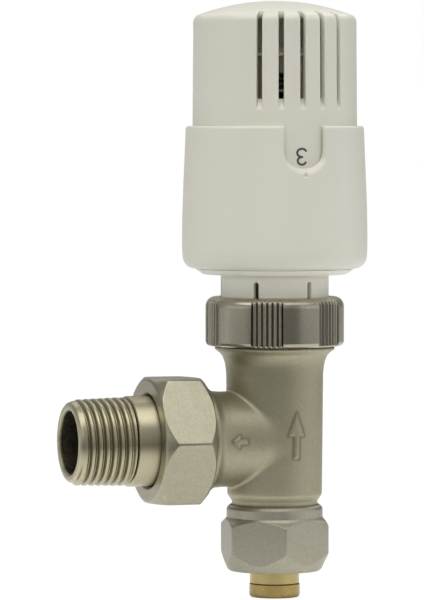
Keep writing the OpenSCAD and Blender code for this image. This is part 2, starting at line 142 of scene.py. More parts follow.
def graded(runs):
    """Grid lines from (start, end, step) runs."""
    out = []
    for start, end, step in runs:
        n = max(1, int(round((end - start) / step)))
        out += list(start + (end - start) * np.arange(n) / n)
    out.append(runs[-1][1])
    return np.array(out)


# ------------------------------------------------------------------ mesh tools

def link_object(name, mesh):
    ob = bpy.data.objects.new(name, mesh)
    bpy.context.scene.collection.objects.link(ob)
    return ob


def raw_mesh(name, verts, faces, sharp=None):
    """A smooth object from vertices in mm, with doubles merged and normals outward."""
    me = bpy.data.meshes.new(name)
    me.from_pydata(((verts + UP) * MM).tolist(), [], faces.tolist())
    bm = bmesh.new()
    bm.from_mesh(me)
    bmesh.ops.remove_doubles(bm, verts=bm.verts, dist=2e-7)
    bmesh.ops.dissolve_degenerate(bm, edges=bm.edges, dist=1e-8)
    bmesh.ops.recalc_face_normals(bm, faces=bm.faces)
    bm.to_mesh(me)
    bm.free()
    me.validate()
    me.shade_smooth()
    if sharp:
        me.set_sharp_from_angle(angle=math.radians(sharp))
    return link_object(name, me)


def loft(name, angles, columns, axis="z", sharp=40, weighted=True):
    """A closed solid from one closed (r, h) profile per angle, all of the same length.
    Axis x is the tail's: h runs along -X and angles start at +Z."""
    columns = np.asarray(columns, float)
    angles = np.asarray(angles, float)
    ncol, nrow = columns.shape[:2]
    radius, angle, height = np.broadcast_arrays(
        columns[:, :, 0], angles[:, None], columns[:, :, 1])
    if axis == "z":
        verts = [radius * np.cos(angle), radius * np.sin(angle), height]
    else:
        verts = [-height, radius * np.sin(angle), radius * np.cos(angle)]
    i = np.arange(ncol)[:, None]
    j = np.arange(nrow)[None, :]
    this, following = i * nrow, ((i + 1) % ncol) * nrow
    j_next = (j + 1) % nrow
    faces = np.stack([this + j, following + j, following + j_next, this + j_next], -1)
    ob = raw_mesh(name, np.stack(verts, -1).reshape(-1, 3), faces.reshape(-1, 4), sharp)
    if weighted:
        m = ob.modifiers.new("normals", "WEIGHTED_NORMAL")
        m.keep_sharp = True
        m.weight = 60
    return ob


def lathe(name, profile):
    angles = np.linspace(0, TAU, 128, endpoint=False)
    return loft(name, angles, np.repeat(rounded(profile)[None], 128, 0))


def join(name, objects):
    """One smooth object from several closed meshes, united where they overlap."""
    base, *others = objects
    for other in others:
        m = base.modifiers.new("unite", "BOOLEAN")
        m.operation = "UNION"
        m.object = other
        try:
            m.solver = "MANIFOLD"
        except TypeError:       # a build that doesn't offer the manifold solver
            m.solver = "EXACT"
    bpy.context.view_layer.update()
    graph = bpy.context.evaluated_depsgraph_get()
    united = bpy.data.meshes.new_from_object(base.evaluated_get(graph), depsgraph=graph)
    base.modifiers.clear()
    old = base.data
    base.data = united
    bpy.data.meshes.remove(old)
    for other in others:
        bpy.data.objects.remove(other)
    base.name = name
    united.name = name
    united.shade_smooth()
    united.set_sharp_from_angle(angle=math.radians(50))
    return base


# ------------------------------------------------------------------ distance fields

def polygon_distance(points, polygon):
    """Signed distance from points (N, 2) to a closed polygon, negative inside."""
    best = np.full(len(points), 1e18)
    sign = np.ones(len(points))
    for i in range(len(polygon)):
        a, b = polygon[i], polygon[i - 1]
        edge = b - a
        rel = points - a
        along = np.clip((rel @ edge) / max(edge @ edge, 1e-12), 0, 1)
        off = rel - edge * along[:, None]
        best = np.minimum(best, (off * off).sum(1))
        above = points[:, 1] >= a[1]
        below = points[:, 1] < b[1]
        left = edge[0] * rel[:, 1] > edge[1] * rel[:, 0]
        flip = (above & below & left) | (~above & ~below & ~left)
        sign = np.where(flip, -sign, sign)
    return sign * np.sqrt(best)


class Outline:
    """Signed distance to a closed (r, h) polygon, tabulated once and interpolated."""

    STEP = 0.08

    def __init__(self, polygon, margin=1.6):
        polygon = np.asarray(polygon, float)
        self.low = polygon.min(0) - margin
        size = np.ceil((polygon.max(0) + margin - self.low) / self.STEP).astype(int) + 1
        lines = [self.low[k] + self.STEP * np.arange(size[k]) for k in (0, 1)]
        nodes = np.stack(np.meshgrid(*lines, indexing="ij"), -1).reshape(-1, 2)
        chunks = np.array_split(nodes, max(1, len(nodes) // 20000))
        self.grid = np.concatenate([polygon_distance(c, polygon) for c in chunks]).reshape(size)

    def __call__(self, radius, height):
        outside = 0.0
        cells, parts = [], []
        for k, value in ((0, radius), (1, height)):
            u = (value - self.low[k]) / self.STEP
            kept = np.clip(u, 0, self.grid.shape[k] - 1.000001)
            outside = outside + ((u - kept) * self.STEP) ** 2
            cell = kept.astype(int)
            cells.append(cell)
            parts.append(kept - cell)
        (i, j), (a, b) = cells, parts
        grid = self.grid
        near = grid[i, j] * (1 - a) + grid[i + 1, j] * a
        far = grid[i, j + 1] * (1 - a) + grid[i + 1, j + 1] * a
        return near * (1 - b) + far * b + np.sqrt(outside)


def smooth_min(a, b, blend):
    h = np.maximum(blend - np.abs(a - b), 0) / blend
    return np.minimum(a, b) - h * h * blend / 4


def smooth_max(a, b, blend):
    return -smooth_min(-a, -b, blend)


def between(value, low, high):
    """Negative where low < value < high."""
    return np.maximum(low - value, value - high)


def nearest_offset(angle, centres):
    """Each angle measured from the nearest of the centres."""
    offsets = np.stack([wrapped(angle - c) for c in centres], 1)
    return offsets[np.arange(len(angle)), np.abs(offsets).argmin(1)]


def polar_to_xyz(points):
    angle, radius, height = points.T
    return np.stack([radius * np.cos(angle), radius * np.sin(angle), height], 1)


def surface_step(field, points):
    """The limited Newton step from the field's surface to the points."""
    value = field(points)
    grad = np.zeros_like(points)
    for k in range(3):
        shift = np.zeros(3)
        shift[k] = 0.02
        grad[:, k] = (field(points + shift) - field(points - shift)) / 0.04
    steep = np.maximum((grad * grad).sum(1), 0.25)
    return np.clip(value / steep, -0.15, 0.15)[:, None] * grad


def nets(name, field, grid, polar=True, steps=3, relax=False):
    """A closed quad mesh of field(xyz) = 0 by surface nets on a grid of three sets of lines,
    with each vertex then moved on to the true surface. A polar grid is (angle, r, z) and
    closes on itself round the angle."""
    to_xyz = polar_to_xyz if polar else (lambda points: points)
    nodes = np.stack(np.meshgrid(*grid, indexing="ij"), -1)
    values = field(to_xyz(nodes.reshape(-1, 3))).reshape(nodes.shape[:3])
    values = np.where(np.abs(values) < 1e-6, 1e-6, values)
    if polar:
        values = np.concatenate([values, values[:1]], 0)
        nodes = np.concatenate([nodes, nodes[:1] + np.array([TAU, 0, 0])], 0)
    limits = np.array(values.shape) - 1
    nu, nv, nw = limits
    inside = values < 0
    corners = [(a, b, c) for a in (0, 1) for b in (0, 1) for c in (0, 1)]
    count = sum(inside[a:a + nu, b:b + nv, c:c + nw].astype(int) for a, b, c in corners)
    active = (count > 0) & (count < 8)
    cells = np.argwhere(active)
    index = -np.ones(tuple(limits), int)
    index[active] = np.arange(len(cells))

    # a vertex is the mean of the crossings on its cell's edges
    total = np.zeros((len(cells), 3))
    crossings = np.zeros(len(cells))
    edges = [(p, q) for p in corners for q in corners
             if sum(abs(x - y) for x, y in zip(p, q)) == 1 and p < q]
    for p, q in edges:
        start = tuple((cells + np.array(p)).T)
        end = tuple((cells + np.array(q)).T)
        f0, f1 = values[start], values[end]
        cross = (f0 < 0) != (f1 < 0)
        t = np.where(cross, f0 / np.where(cross, f0 - f1, 1), 0)
        point = nodes[start] * (1 - t)[:, None] + nodes[end] * t[:, None]
        total[cross] += point[cross]
        crossings[cross] += 1
    verts = to_xyz(total / crossings[:, None])

    # a quad joins the four cells round each crossed grid edge
    quads = []
    for axis in range(3):
        lower = [slice(None)] * 3
        upper = [slice(None)] * 3
        lower[axis], upper[axis] = slice(0, -1), slice(1, None)
        base = np.argwhere(inside[tuple(lower)] != inside[tuple(upper)])
        side1, side2 = [k for k in range(3) if k != axis]
        ring = []
        ok = np.ones(len(base), bool)
        for d1, d2 in ((0, 0), (-1, 0), (-1, -1), (0, -1)):
            cell = base.copy()
            cell[:, side1] += d1
            cell[:, side2] += d2
            if polar and axis != 0:
                cell[:, 0] %= nu
            ok &= ((cell >= 0) & (cell < limits)).all(1)
            cell = np.clip(cell, 0, limits - 1)
            ring.append(index[tuple(cell.T)])
        if polar and axis != 0:
            ok &= base[:, 0] < nu
        ring = np.stack(ring, -1)[ok]
        quads.append(ring[(ring >= 0).all(1)])
    quads = np.concatenate(quads)

    if relax:
        pairs = np.concatenate([quads[:, [k, (k + 1) % 4]] for k in range(4)])
        near = np.zeros_like(verts)
        n = np.zeros(len(verts))
        for a, b in ((0, 1), (1, 0)):
            np.add.at(near, pairs[:, a], verts[pairs[:, b]])
            np.add.at(n, pairs[:, a], 1)
        verts = 0.5 * verts + 0.5 * near / np.maximum(n, 1)[:, None]
        verts = verts - surface_step(field, verts)
    for _ in range(steps):
        verts = verts - surface_step(field, verts)
    return raw_mesh(name, verts, quads)


def slot_angles(centres, radius, half, plain_deg, fine=0.16, reach=0.55):
    """Angles round the circle, fine beside the slots' edges and coarse elsewhere."""
    marks = set()
    for c in centres:
        for side in (-1, 1):
            edge = side * half / radius
            for q in np.arange(-reach, reach + 1e-9, fine):
                marks.add(round((c + edge + q / radius) % TAU, 6))
    marks = sorted(marks)
    out = []
    for i, mark in enumerate(marks):
        following = marks[(i + 1) % len(marks)] + (TAU if i == len(marks) - 1 else 0)
        if out and mark - out[-1] < fine * 0.45 / radius:
            continue
        out.append(mark)
        gap = following - mark
        n = int(gap // math.radians(plain_deg))
        for k in range(1, n + 1):
            out.append(mark + gap * k / (n + 1))
    return np.array(sorted(out))


# ------------------------------------------------------------------ shader tools

def new_material(name):
    material = bpy.data.materials.new(name)
    material.use_nodes = True
    tree = material.node_tree
    tree.nodes.clear()
    out = tree.nodes.new("ShaderNodeOutputMaterial")
    bsdf = tree.nodes.new("ShaderNodeBsdfPrincipled")
    tree.links.new(bsdf.outputs[0], out.inputs["Surface"])
    return material, tree, bsdf


def feed(tree, socket, value):
    """Links an output to the socket, or sets a number or an (r, g, b) colour on it."""
    if hasattr(value, "is_output"):
        tree.links.new(value, socket)
    elif hasattr(value, "__len__"):
        socket.default_value = (*value, 1)
    else:
        socket.default_value = value


def noise(tree, scale, detail, rough, stretch=(1, 1, 1), offset=(0, 0, 0)):
    coords = tree.nodes.new("ShaderNodeTexCoord")
    mapping = tree.nodes.new("ShaderNodeMapping")
    mapping.inputs["Scale"].default_value = stretch
    mapping.inputs["Location"].default_value = offset
    tree.links.new(coords.outputs["Object"], mapping.inputs["Vector"])
    texture = tree.nodes.new("ShaderNodeTexNoise")
    texture.inputs["Scale"].default_value = scale
    texture.inputs["Detail"].default_value = detail
    texture.inputs["Roughness"].default_value = rough
    tree.links.new(mapping.outputs[0], texture.inputs["Vector"])
    return texture.outputs["Fac"]


def ramp(tree, source, stops):
    """A grey ramp from (position, value) stops."""
    node = tree.nodes.new("ShaderNodeValToRGB")
    elements = node.color_ramp.elements
    while len(elements) < len(stops):
        elements.new(0.5)
    for element, (position, value) in zip(elements, stops):
        element.position = position
        element.color = (value, value, value, 1)
    tree.links.new(source, node.inputs[0])
    return node.outputs[0]


def mix(tree, factor, a, b):
    node = tree.nodes.new("ShaderNodeMix")
    node.data_type = "RGBA"
    for k, value in ((0, factor), (6, a), (7, b)):
        feed(tree, node.inputs[k], value)
    return node.outputs[2]


def math_node(tree, operation, *values):
    node = tree.nodes.new("ShaderNodeMath")
    node.operation = operation
    for k, value in enumerate(values):
        feed(tree, node.inputs[k], value)
    return node.outputs[0]


def bump(tree, bsdf, height, strength, distance, under=None):
    node = tree.nodes.new("ShaderNodeBump")
    node.inputs["Strength"].default_value = strength
    node.inputs["Distance"].default_value = distance
    tree.links.new(height, node.inputs["Height"])
    if under is not None:
        tree.links.new(under, node.inputs["Normal"])
    tree.links.new(node.outputs[0], bsdf.inputs["Normal"])
    return node.outputs[0]


def soiling_and_painted_shade_mask(tree, reach, clear_at):
    """A mask of soiling and painted shade: 1 in the corners, falling to 0 where the occlusion
    output reaches the last argument.
    """
    node = tree.nodes.new("ShaderNodeAmbientOcclusion")
    node.samples = 6
    node.inputs["Distance"].default_value = reach
    return ramp(tree, node.outputs["AO"], [(0.25, 1.0), (clear_at, 0.0)])


def scaled(colour, factor):
    return tuple(factor * c for c in colour)


# ------------------------------------------------------------------ materials

def plastic(name, colour, soiling_and_shade_colour, rough, scatter=0.0, soiling_and_shade_amount=0.16):
    material, tree, bsdf = new_material(name)
    broad = noise(tree, scale=45, detail=3, rough=0.55)
    broad = ramp(tree, broad, [(0.35, 0.0), (0.7, 1.0)])
    base = mix(tree, broad, colour, scaled(colour, 0.98))
    # soiling and painted shade: corners and creases darkened by the occlusion mask
    soiling_and_shade = soiling_and_painted_shade_mask(tree, reach=0.0015, clear_at=0.75)
    base = mix(tree, math_node(tree, "MULTIPLY", soiling_and_shade, soiling_and_shade_amount), base, soiling_and_shade_colour)
    tree.links.new(base, bsdf.inputs["Base Color"])
    fine = noise(tree, scale=2600, detail=3, rough=0.6)
    roughness = math_node(tree, "MULTIPLY_ADD", fine, 0.10, rough - 0.05)
    tree.links.new(roughness, bsdf.inputs["Roughness"])
    bsdf.inputs["IOR"].default_value = 1.5
    bsdf.inputs["Subsurface Weight"].default_value = scatter
    bsdf.inputs["Subsurface Radius"].default_value = (0.0016, 0.0014, 0.0011)
    bsdf.inputs["Subsurface Scale"].default_value = 1.0
    skin = bump(tree, bsdf, fine, strength=0.08, distance=0.00002)
    waves = noise(tree, scale=160, detail=2, rough=0.5)
    bump(tree, bsdf, waves, strength=0.05, distance=0.0002, under=skin)
    return material


def metal(name, colour, soiling_and_shade_colour, rough, spread=0.10, grain=900, grain_strength=0.25,
          grain_depth=0.00002, stretch=(1, 1, 1), mottle=0.06, edge=0.5, soiling_and_shade_amount=0.62,
          soiling_and_shade_reach=0.0018):
    """spread is the range of roughness over the grain, mottle how much the grain darkens
    the colour and edge how much the sharp edges are lightened, as wear and as a painted
    highlight."""
    material, tree, bsdf = new_material(name)
    bsdf.inputs["Metallic"].default_value = 1.0
    broad = noise(tree, scale=120, detail=4, rough=0.6)
    broad = ramp(tree, broad, [(0.3, 0.0), (0.75, 1.0)])
    base = mix(tree, broad, colour, scaled(colour, 0.93))
    fine = noise(tree, scale=grain, detail=5, rough=0.62, stretch=stretch)
    spots = ramp(tree, fine, [(0.35, 0.0), (0.65, 1.0)])
    base = mix(tree, spots, base, scaled(scaled(colour, 1 - mottle), 0.965))
    # soiling and painted shade: corners, creases and thread valleys darkened by the occlusion
    # mask
    soiling_and_shade = soiling_and_painted_shade_mask(tree, soiling_and_shade_reach, clear_at=0.80)
    base = mix(tree, math_node(tree, "MULTIPLY", soiling_and_shade, soiling_and_shade_amount), base, soiling_and_shade_colour)
    geometry = tree.nodes.new("ShaderNodeNewGeometry")
    # sharp edges lightened: wear, and a painted highlight along the edges
    worn_and_highlit_edges = ramp(tree, geometry.outputs["Pointiness"], [(0.52, 0.0), (0.60, 1.0)])
    base = mix(tree, math_node(tree, "MULTIPLY", worn_and_highlit_edges, edge * 0.5), base,
               tuple(min(1, c * 1.22 + 0.03) for c in colour))
    tree.links.new(base, bsdf.inputs["Base Color"])
    roughness = math_node(tree, "MULTIPLY_ADD", fine, spread, rough - spread / 2)
    roughness = math_node(tree, "MULTIPLY_ADD", soiling_and_shade, 0.15, roughness)
    tree.links.new(roughness, bsdf.inputs["Roughness"])
    skin = bump(tree, bsdf, fine, grain_strength, grain_depth)
    waves = noise(tree, scale=260, detail=3, rough=0.5, offset=(0.3, 0.1, 0.2))
    bump(tree, bsdf, waves, strength=0.06, distance=0.0001, under=skin)
    return material


def add_mark(material, colour, rough):
    """Gives a metal a colour and extra roughness where its mesh carries a mark."""
    tree = material.node_tree
    bsdf = next(n for n in tree.nodes if n.type == "BSDF_PRINCIPLED")
    attribute = tree.nodes.new("ShaderNodeAttribute")
    attribute.attribute_name = "mark"
    patches = noise(tree, scale=700, detail=3, rough=0.6)
    patches = ramp(tree, patches, [(0.2, 0.75), (0.6, 1.0)])
    mark = math_node(tree, "MULTIPLY", attribute.outputs["Fac"], patches)
    plain = bsdf.inputs["Base Color"].links[0].from_socket
    tree.links.new(mix(tree, mark, plain, colour), bsdf.inputs["Base Color"])
    plain = bsdf.inputs["Roughness"].links[0].from_socket
    roughness = math_node(tree, "MULTIPLY_ADD", mark, rough, plain)
    tree.links.new(roughness, bsdf.inputs["Roughness"])


def set_mark(ob, mark_at):
    """Writes the mark, 0 to 1, at every vertex from its place in mm about the crossing."""
    me = ob.data
    points = np.empty(len(me.vertices) * 3)
    me.vertices.foreach_get("co", points)
    points = points.reshape(-1, 3) / MM - UP
    attribute = me.attributes.new("mark", "FLOAT", "POINT")
    values = np.clip(mark_at(points), 0, 1).astype(np.float32)
    attribute.data.foreach_set("value", values)


def ink(name, colour):
    material, tree, bsdf = new_material(name)
    grain = noise(tree, scale=900, detail=3, rough=0.6)
    base = mix(tree, grain, colour, scaled(colour, 1.5))
    tree.links.new(base, bsdf.inputs["Base Color"])
    bsdf.inputs["Roughness"].default_value = 0.5
    bump(tree, bsdf, grain, strength=0.05, distance=0.00002)
    return material


WHITE = plastic("white_plastic", (0.775, 0.76, 0.66), (0.60, 0.57, 0.46), rough=0.34,
                scatter=0.06, soiling_and_shade_amount=0.10)
# painted light: a lighter copy of the white plastic for the head base, making up for the shade
# under the collar
WHITE_WITH_PAINTED_LIGHT = plastic("white_plastic_painted_light", (0.84, 0.825, 0.725), (0.66, 0.63, 0.52), rough=0.36,
                     scatter=0.06, soiling_and_shade_amount=0.06)
GREY = plastic("grey_plastic", (0.52, 0.46, 0.34), (0.25, 0.21, 0.15), rough=0.55)
DARK = plastic("dark_plastic", (0.035, 0.035, 0.037), (0.01, 0.01, 0.01), rough=0.5)
FORGED = metal("nickel_forged", (0.445, 0.415, 0.295), (0.13, 0.12, 0.09), rough=0.50,
               grain=1900, grain_strength=0.5, grain_depth=0.00003, mottle=0.10, soiling_and_shade_amount=0.5)
SATIN = metal("nickel_satin", (0.44, 0.42, 0.335), (0.11, 0.10, 0.075), rough=0.44,
              grain=1700, grain_strength=0.3, grain_depth=0.00003, mottle=0.12, edge=1.0)
MACHINED = metal("nickel_machined", (0.425, 0.40, 0.295), (0.09, 0.08, 0.055), rough=0.30,
                 spread=0.12, grain=1500, grain_strength=0.35, mottle=0.13, edge=1.0)
TURNED = metal("nickel_turned", (0.50, 0.46, 0.32), (0.055, 0.045, 0.025), rough=0.33,
               grain_strength=0.30, stretch=(9, 1, 1), edge=0.9, soiling_and_shade_amount=0.9,
               soiling_and_shade_reach=0.0013)
RING_NICKEL = metal("nickel_ring", (0.46, 0.43, 0.34), (0.07, 0.062, 0.045), rough=0.26,
                    grain=1300, grain_strength=0.2, edge=0.9, soiling_and_shade_amount=0.85,
                    soiling_and_shade_reach=0.0014)
BRASS = metal("bare_brass", (0.50, 0.40, 0.185), (0.20, 0.14, 0.045), rough=0.30,
              spread=0.12, stretch=(1, 1, 6), edge=0.7)
COPPER = metal("copper_rim", (0.42, 0.31, 0.12), (0.15, 0.08, 0.03), rough=0.28,
               spread=0.12, stretch=(1, 1, 6), edge=0.7)
# painted shade: a dark line round the foot of the body's raised arrows
add_mark(FORGED, (0.12, 0.095, 0.06), rough=0.15)
# painted shade inside the tail's bore
add_mark(TURNED, (0.035, 0.03, 0.02), rough=0.2)
STEEL = metal("stainless", (0.55, 0.55, 0.53), (0.15, 0.15, 0.14), rough=0.28,
              grain_strength=0.15)
CAN = metal("capsule_can", (0.24, 0.23, 0.20), (0.06, 0.055, 0.04), rough=0.42,
            spread=0.12, grain=700, grain_strength=0.2)
RUBBER = plastic("seal_rubber", (0.018, 0.018, 0.019), (0.008, 0.008, 0.008), rough=0.62)
INK = ink("numeral_ink", (0.075, 0.07, 0.065))


def dress(ob, material, body, slot, *nodes):
    ob.data.materials.clear()
    ob.data.materials.append(material)
    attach(ob, body)
    if nodes:
        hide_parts(*nodes)


# ------------------------------------------------------------------ temperature cap

CAP_R = 19.75
CAP_INNER_R = CAP_R - 1.95
CAP_BOTTOM = 46.5
SHOULDER = CAP_TOP - 5.2        # height of the shoulder arc's centre
SHOULDER_R = 2
ROOF = 2.1                      # thickness under the crown
CROWN_R = 53                    # the crown is part of a sphere
SLOT_HALF = 0.65
SLOTS = [math.radians(side + (i - 2) * 15.4) for side in (-90, 90) for i in range(5)]
CAP_STOP_HALF = math.radians(22.5)


def crown(top, radius, x):
    return top - radius + math.sqrt(radius * radius - x * x)


def cap_profile():
    points = [(CAP_INNER_R, CAP_BOTTOM, 0.25), (SKIRT_R, CAP_BOTTOM, 0.35), (SKIRT_R, 77.0),
              (CAP_R, SHOULDER - 2)]
    points += arc(CAP_R - SHOULDER_R, SHOULDER, SHOULDER_R, [70 * k / 10 for k in range(11)])
    points += [(x, crown(CAP_TOP, CROWN_R, x)) for x in np.linspace(17.6, 0, 15)]
    points.append((0, CAP_TOP - ROOF))
    points += [(x, crown(CAP_TOP - ROOF, CROWN_R - ROOF, x)) for x in np.linspace(3, 16, 6)]
    points += [(CAP_INNER_R - 1.2, SHOULDER + 1.15), (CAP_INNER_R, SHOULDER + 0.4),
               (CAP_INNER_R, 52.2), (CAP_INNER_R + 0.8, 52.2), (CAP_INNER_R + 0.8, 50),
               (CAP_INNER_R, 50)]
    return rounded(points)


CAP_SHAPE = Outline(cap_profile())
# the slots' side view: (distance from the axis, height)
SLOT_SHAPE = Outline([(CAP_R + 3, 79.35), (SKIRT_R, 79.7), (CAP_R - 2.25, 82.9),
                      (CAP_R - 3.15, 82.9), (CAP_R - 3.15, CAP_TOP + 2),
                      (CAP_R + 3, CAP_TOP + 2)], margin=3)


def cap_field(points):
    x, y, z = points.T
    radius = np.hypot(x, y)
    angle = np.arctan2(y, x)
    shell = CAP_SHAPE(radius, z)
    offset = nearest_offset(angle, SLOTS)
    across, along = radius * np.sin(offset), radius * np.cos(offset)
    slot = smooth_max(np.abs(across) - SLOT_HALF, SLOT_SHAPE(along, z), 0.15)
    slot = np.where(np.abs(offset) < 0.5, slot, 9.0)
    # travel stop inside the skirt, about +X
    turn = np.abs(angle)
    flank = np.where(turn < 1.2, radius * np.sin(turn - CAP_STOP_HALF), 9.0)
    stop = np.maximum(between(radius, 15.9, 18.1), between(z, 46.6, 49.4))
    return np.minimum(smooth_max(shell, -slot, 0.34), np.maximum(stop, flank))


def make_cap():
    grid = (slot_angles(SLOTS, 19.2, SLOT_HALF, plain_deg=2.4),
            graded([(0.02, 15.0, 1.15), (15.0, 16.3, 0.4), (16.3, 17.2, 0.22),
                    (17.2, 18.9, 0.28), (18.9, 20.2, 0.26)]),
            graded([(46.0, 47.3, 0.26), (47.3, 49.0, 0.85), (49.0, 52.6, 0.3),
                    (52.6, 76.6, 2.4), (76.6, 78.6, 0.5), (78.6, 83.0, 0.22),
                    (83.0, 98.5, 2.2), (98.5, 103.6, 0.22), (103.6, CAP_TOP + 0.4, 0.26)]))
    ob = nets("temperature_cap_shell", cap_field, grid)
    # the polar grid leaves a hole on the axis, above and below the crown's wall: each
    # hole's rim is drawn to one point
    bm = bmesh.new()
    bm.from_mesh(ob.data)
    rim = sorted({v for e in bm.edges if e.is_boundary for v in e.verts},
                 key=lambda v: v.co.z)
    middle = (rim[0].co.z + rim[-1].co.z) / 2
    for ring in ([v for v in rim if v.co.z < middle], [v for v in rim if v.co.z >= middle]):
        centre = sum((v.co for v in ring), Vector()) / len(ring)
        bmesh.ops.pointmerge(bm, verts=ring, merge_co=centre)
    bm.to_mesh(ob.data)
    bm.free()
    return ob


# ------------------------------------------------------------------ index collar

COLLAR_TOP = 75.7
COLLAR_TOP_R = 21.6
COLLAR_R = 22.47
LIP_R = SKIRT_R + 0.11
COLLAR_ROUND = 0.75
# stations of the flared side, faired by one cubic: (height, radius)
FLARE = np.array([
    (74.6, COLLAR_TOP_R + 0.02), (69.7, COLLAR_TOP_R + 0.18), (66.8, COLLAR_TOP_R + 0.34),
    (61, COLLAR_R - 0.27), (55.2, COLLAR_R - 0.12), (50.8, COLLAR_R - 0.01),
    (46.4, COLLAR_R)])
# the rounded lower edge: (inset from COLLAR_R, height)
LOWER_EDGE = np.array([
    (0, 46.4), (0.05, 45.0), (0.17, 43.9), (0.38, 43.1), (0.72, 42.45), (1.2, 41.9),
    (1.8, 41.5), (2.5, 41.27), (3.17, 41.2)])
# the window widens outwards from the plane y = -WINDOW_Y
WINDOW_Y = 19.0
WINDOW_HALF, WINDOW_SPLAY = 4.5, 0.3444
WINDOW_FOOT_Z = 72.1            # centre of the round foot
WINDOW_FOOT_R, FOOT_SPLAY = 5.4, 0.7333


def collar_profile():
    points = [(20.25, 44.6), (20.25, COLLAR_TOP - 1.1, 0.2), (LIP_R, COLLAR_TOP - 0.7, 0.15),
              (LIP_R, COLLAR_TOP, 0.12)]
    points += arc(COLLAR_TOP_R - COLLAR_ROUND, COLLAR_TOP - COLLAR_ROUND, COLLAR_ROUND,
                  [90 - 82 * k / 7 for k in range(8)])
    cubic = np.polyfit(FLARE[:, 0], FLARE[:, 1], 3)
    points += [(float(np.polyval(cubic, z)), float(z)) for z in np.linspace(72.6, 47.2, 16)]
    last = len(LOWER_EDGE) - 1
    for t in np.linspace(0, 1, 15):
        k = min(int(t * last), last - 1)
        inset, height = spline_point(LOWER_EDGE, k, t * last - k)
        points.append((COLLAR_R - inset, height))
    points += [(15.4, 41.2, 0.2), (15.4, 43.2), (18.6, 43.2, 0.8)]
    return rounded(points)


COLLAR_SHAPE = Outline(collar_profile())


def collar_field(points):
    x, y, z = points.T
    radius = np.hypot(x, y)
    front = y < 0
    depth = -y - WINDOW_Y
    # the factors turn offsets across the sloping faces into distances from them
    side = (np.abs(x) - (WINDOW_HALF + depth * WINDOW_SPLAY)) * 0.945
    foot = (np.hypot(x, z - WINDOW_FOOT_Z) - (WINDOW_FOOT_R + depth * FOOT_SPLAY)) * 0.806
    foot = np.where(z > WINDOW_FOOT_Z, -9.0, foot)
    window = np.where(front, smooth_max(side, foot, 0.9), 9.0)
    shell = smooth_max(COLLAR_SHAPE(radius, z), -window, 0.5)
    # index mark: a small notch under the window, with sloped sides
    notch = np.maximum((np.abs(x) - (65.2 - z) * 0.4167) * 0.92, 63.4 - z)
    notch = notch + np.maximum(0, 22.3 - radius) * 0.35
    notch = smooth_max(notch, 21.55 - radius, 0.1)
    return np.where(front, smooth_max(shell, -notch, 0.2), shell)


def make_collar():
    half = math.radians(21)         # the finely divided part, about -Y
    fine = graded([(-half, half, math.radians(0.62))])
    coarse = graded([(half, TAU - half, math.radians(2.6))])
    grid = (np.concatenate([np.radians(-90) + fine, np.radians(-90) + coarse[1:-1]]),
            graded([(14.9, 18.2, 0.55), (18.2, 19.7, 0.4), (19.7, 22.9, 0.24)]),
            graded([(40.9, 46.4, 0.3), (46.4, 61.8, 1.0), (61.8, 69.0, 0.24),
                    (69.0, 73.9, 0.5), (73.9, 75.8, 0.2)]))
    return nets("index_collar_shell", collar_field, grid)


# ------------------------------------------------------------------ head base

# neck, flange and guide tube: (r, h, fillet)
BASE_SHAPE = Outline(rounded([
    (11.3, 30.05, 0.2), (14.4, 30.05, 0.3), (14.4, 31.5, 0.3), (13.1, 31.5, 0.2),
    (13.1, 39.35), (13.2, 39.62), (13.5, 39.8, 0.1), (17.2, 39.8, 0.35), (17.9, 40.15, 0.3),
    (18.7, 40.7, 0.3), (19.2, 41.19, 0.02), (15.2, 41.19, 0.1), (15.2, 50.4), (14.6, 50.4),
    (14.6, 51.6), (15.2, 51.6), (15.2, 72, 0.3), (13.25, 72, 0.3), (13.25, 48), (3.1, 48),
    (3.1, 45), (11.3, 45)]))
NECK_SLOTS = [math.radians(a - 130 + side) for a in (0, 60, 120) for side in (0, 180)]
NECK_SLOT_TOP = 38.2
GUIDES = [math.radians(a) for a in (30, 150, 270)]
BASE_STOP = math.radians(135)
BASE_STOP_HALF = math.radians(21.5)


def base_field(points):
    x, y, z = points.T
    radius = np.hypot(x, y)
    angle = np.arctan2(y, x)
    across = radius * np.sin(nearest_offset(angle, NECK_SLOTS))
    slot = smooth_max(np.abs(across) - 0.6, z - NECK_SLOT_TOP, 0.9)
    shell = smooth_max(BASE_SHAPE(radius, z), -slot, 0.22)
    # guides for the carrier's ribs
    for guide in GUIDES:
        turn = wrapped(angle - guide)
        groove = np.maximum(np.abs(radius * np.sin(turn)) - 1.7, 58 - z)
        shell = np.maximum(shell, -np.maximum(groove, np.where(np.abs(turn) < 1, -9, 9)))
    # fixed stop
    turn = wrapped(angle - BASE_STOP)
    stop = np.maximum(np.abs(turn) * 16 - BASE_STOP_HALF * 16, np.abs(z - 46.3) - 2.9)
    return np.minimum(shell, np.maximum(stop, np.abs(radius - 16.2) - 1.2))


def make_base():
    grid = (slot_angles(NECK_SLOTS + GUIDES, 13.1, 0.9, plain_deg=2.8, fine=0.2, reach=0.8),
            graded([(2.7, 3.6, 0.3), (3.6, 10.8, 1.8), (10.8, 15.6, 0.26), (15.6, 19.6, 0.3)]),
            graded([(29.7, 32.2, 0.24), (32.2, 36.8, 0.9), (36.8, 41.6, 0.2),
                    (41.6, 43.0, 0.5), (43.0, 52.0, 0.3), (52.0, 57.4, 1.2),
                    (57.4, 58.6, 0.25), (58.6, 71.2, 1.8), (71.2, 72.4, 0.24)]))
    return nets("head_base_collet", base_field, grid, steps=2)


# ------------------------------------------------------------------ ring nut

RING_R = 16.8
RING_START = -86.3      # degrees to the middle of a plain pad
PAD = 33.0              # degrees of plain pad in every 60
RIBBED = 60 - PAD
RIBS = 6


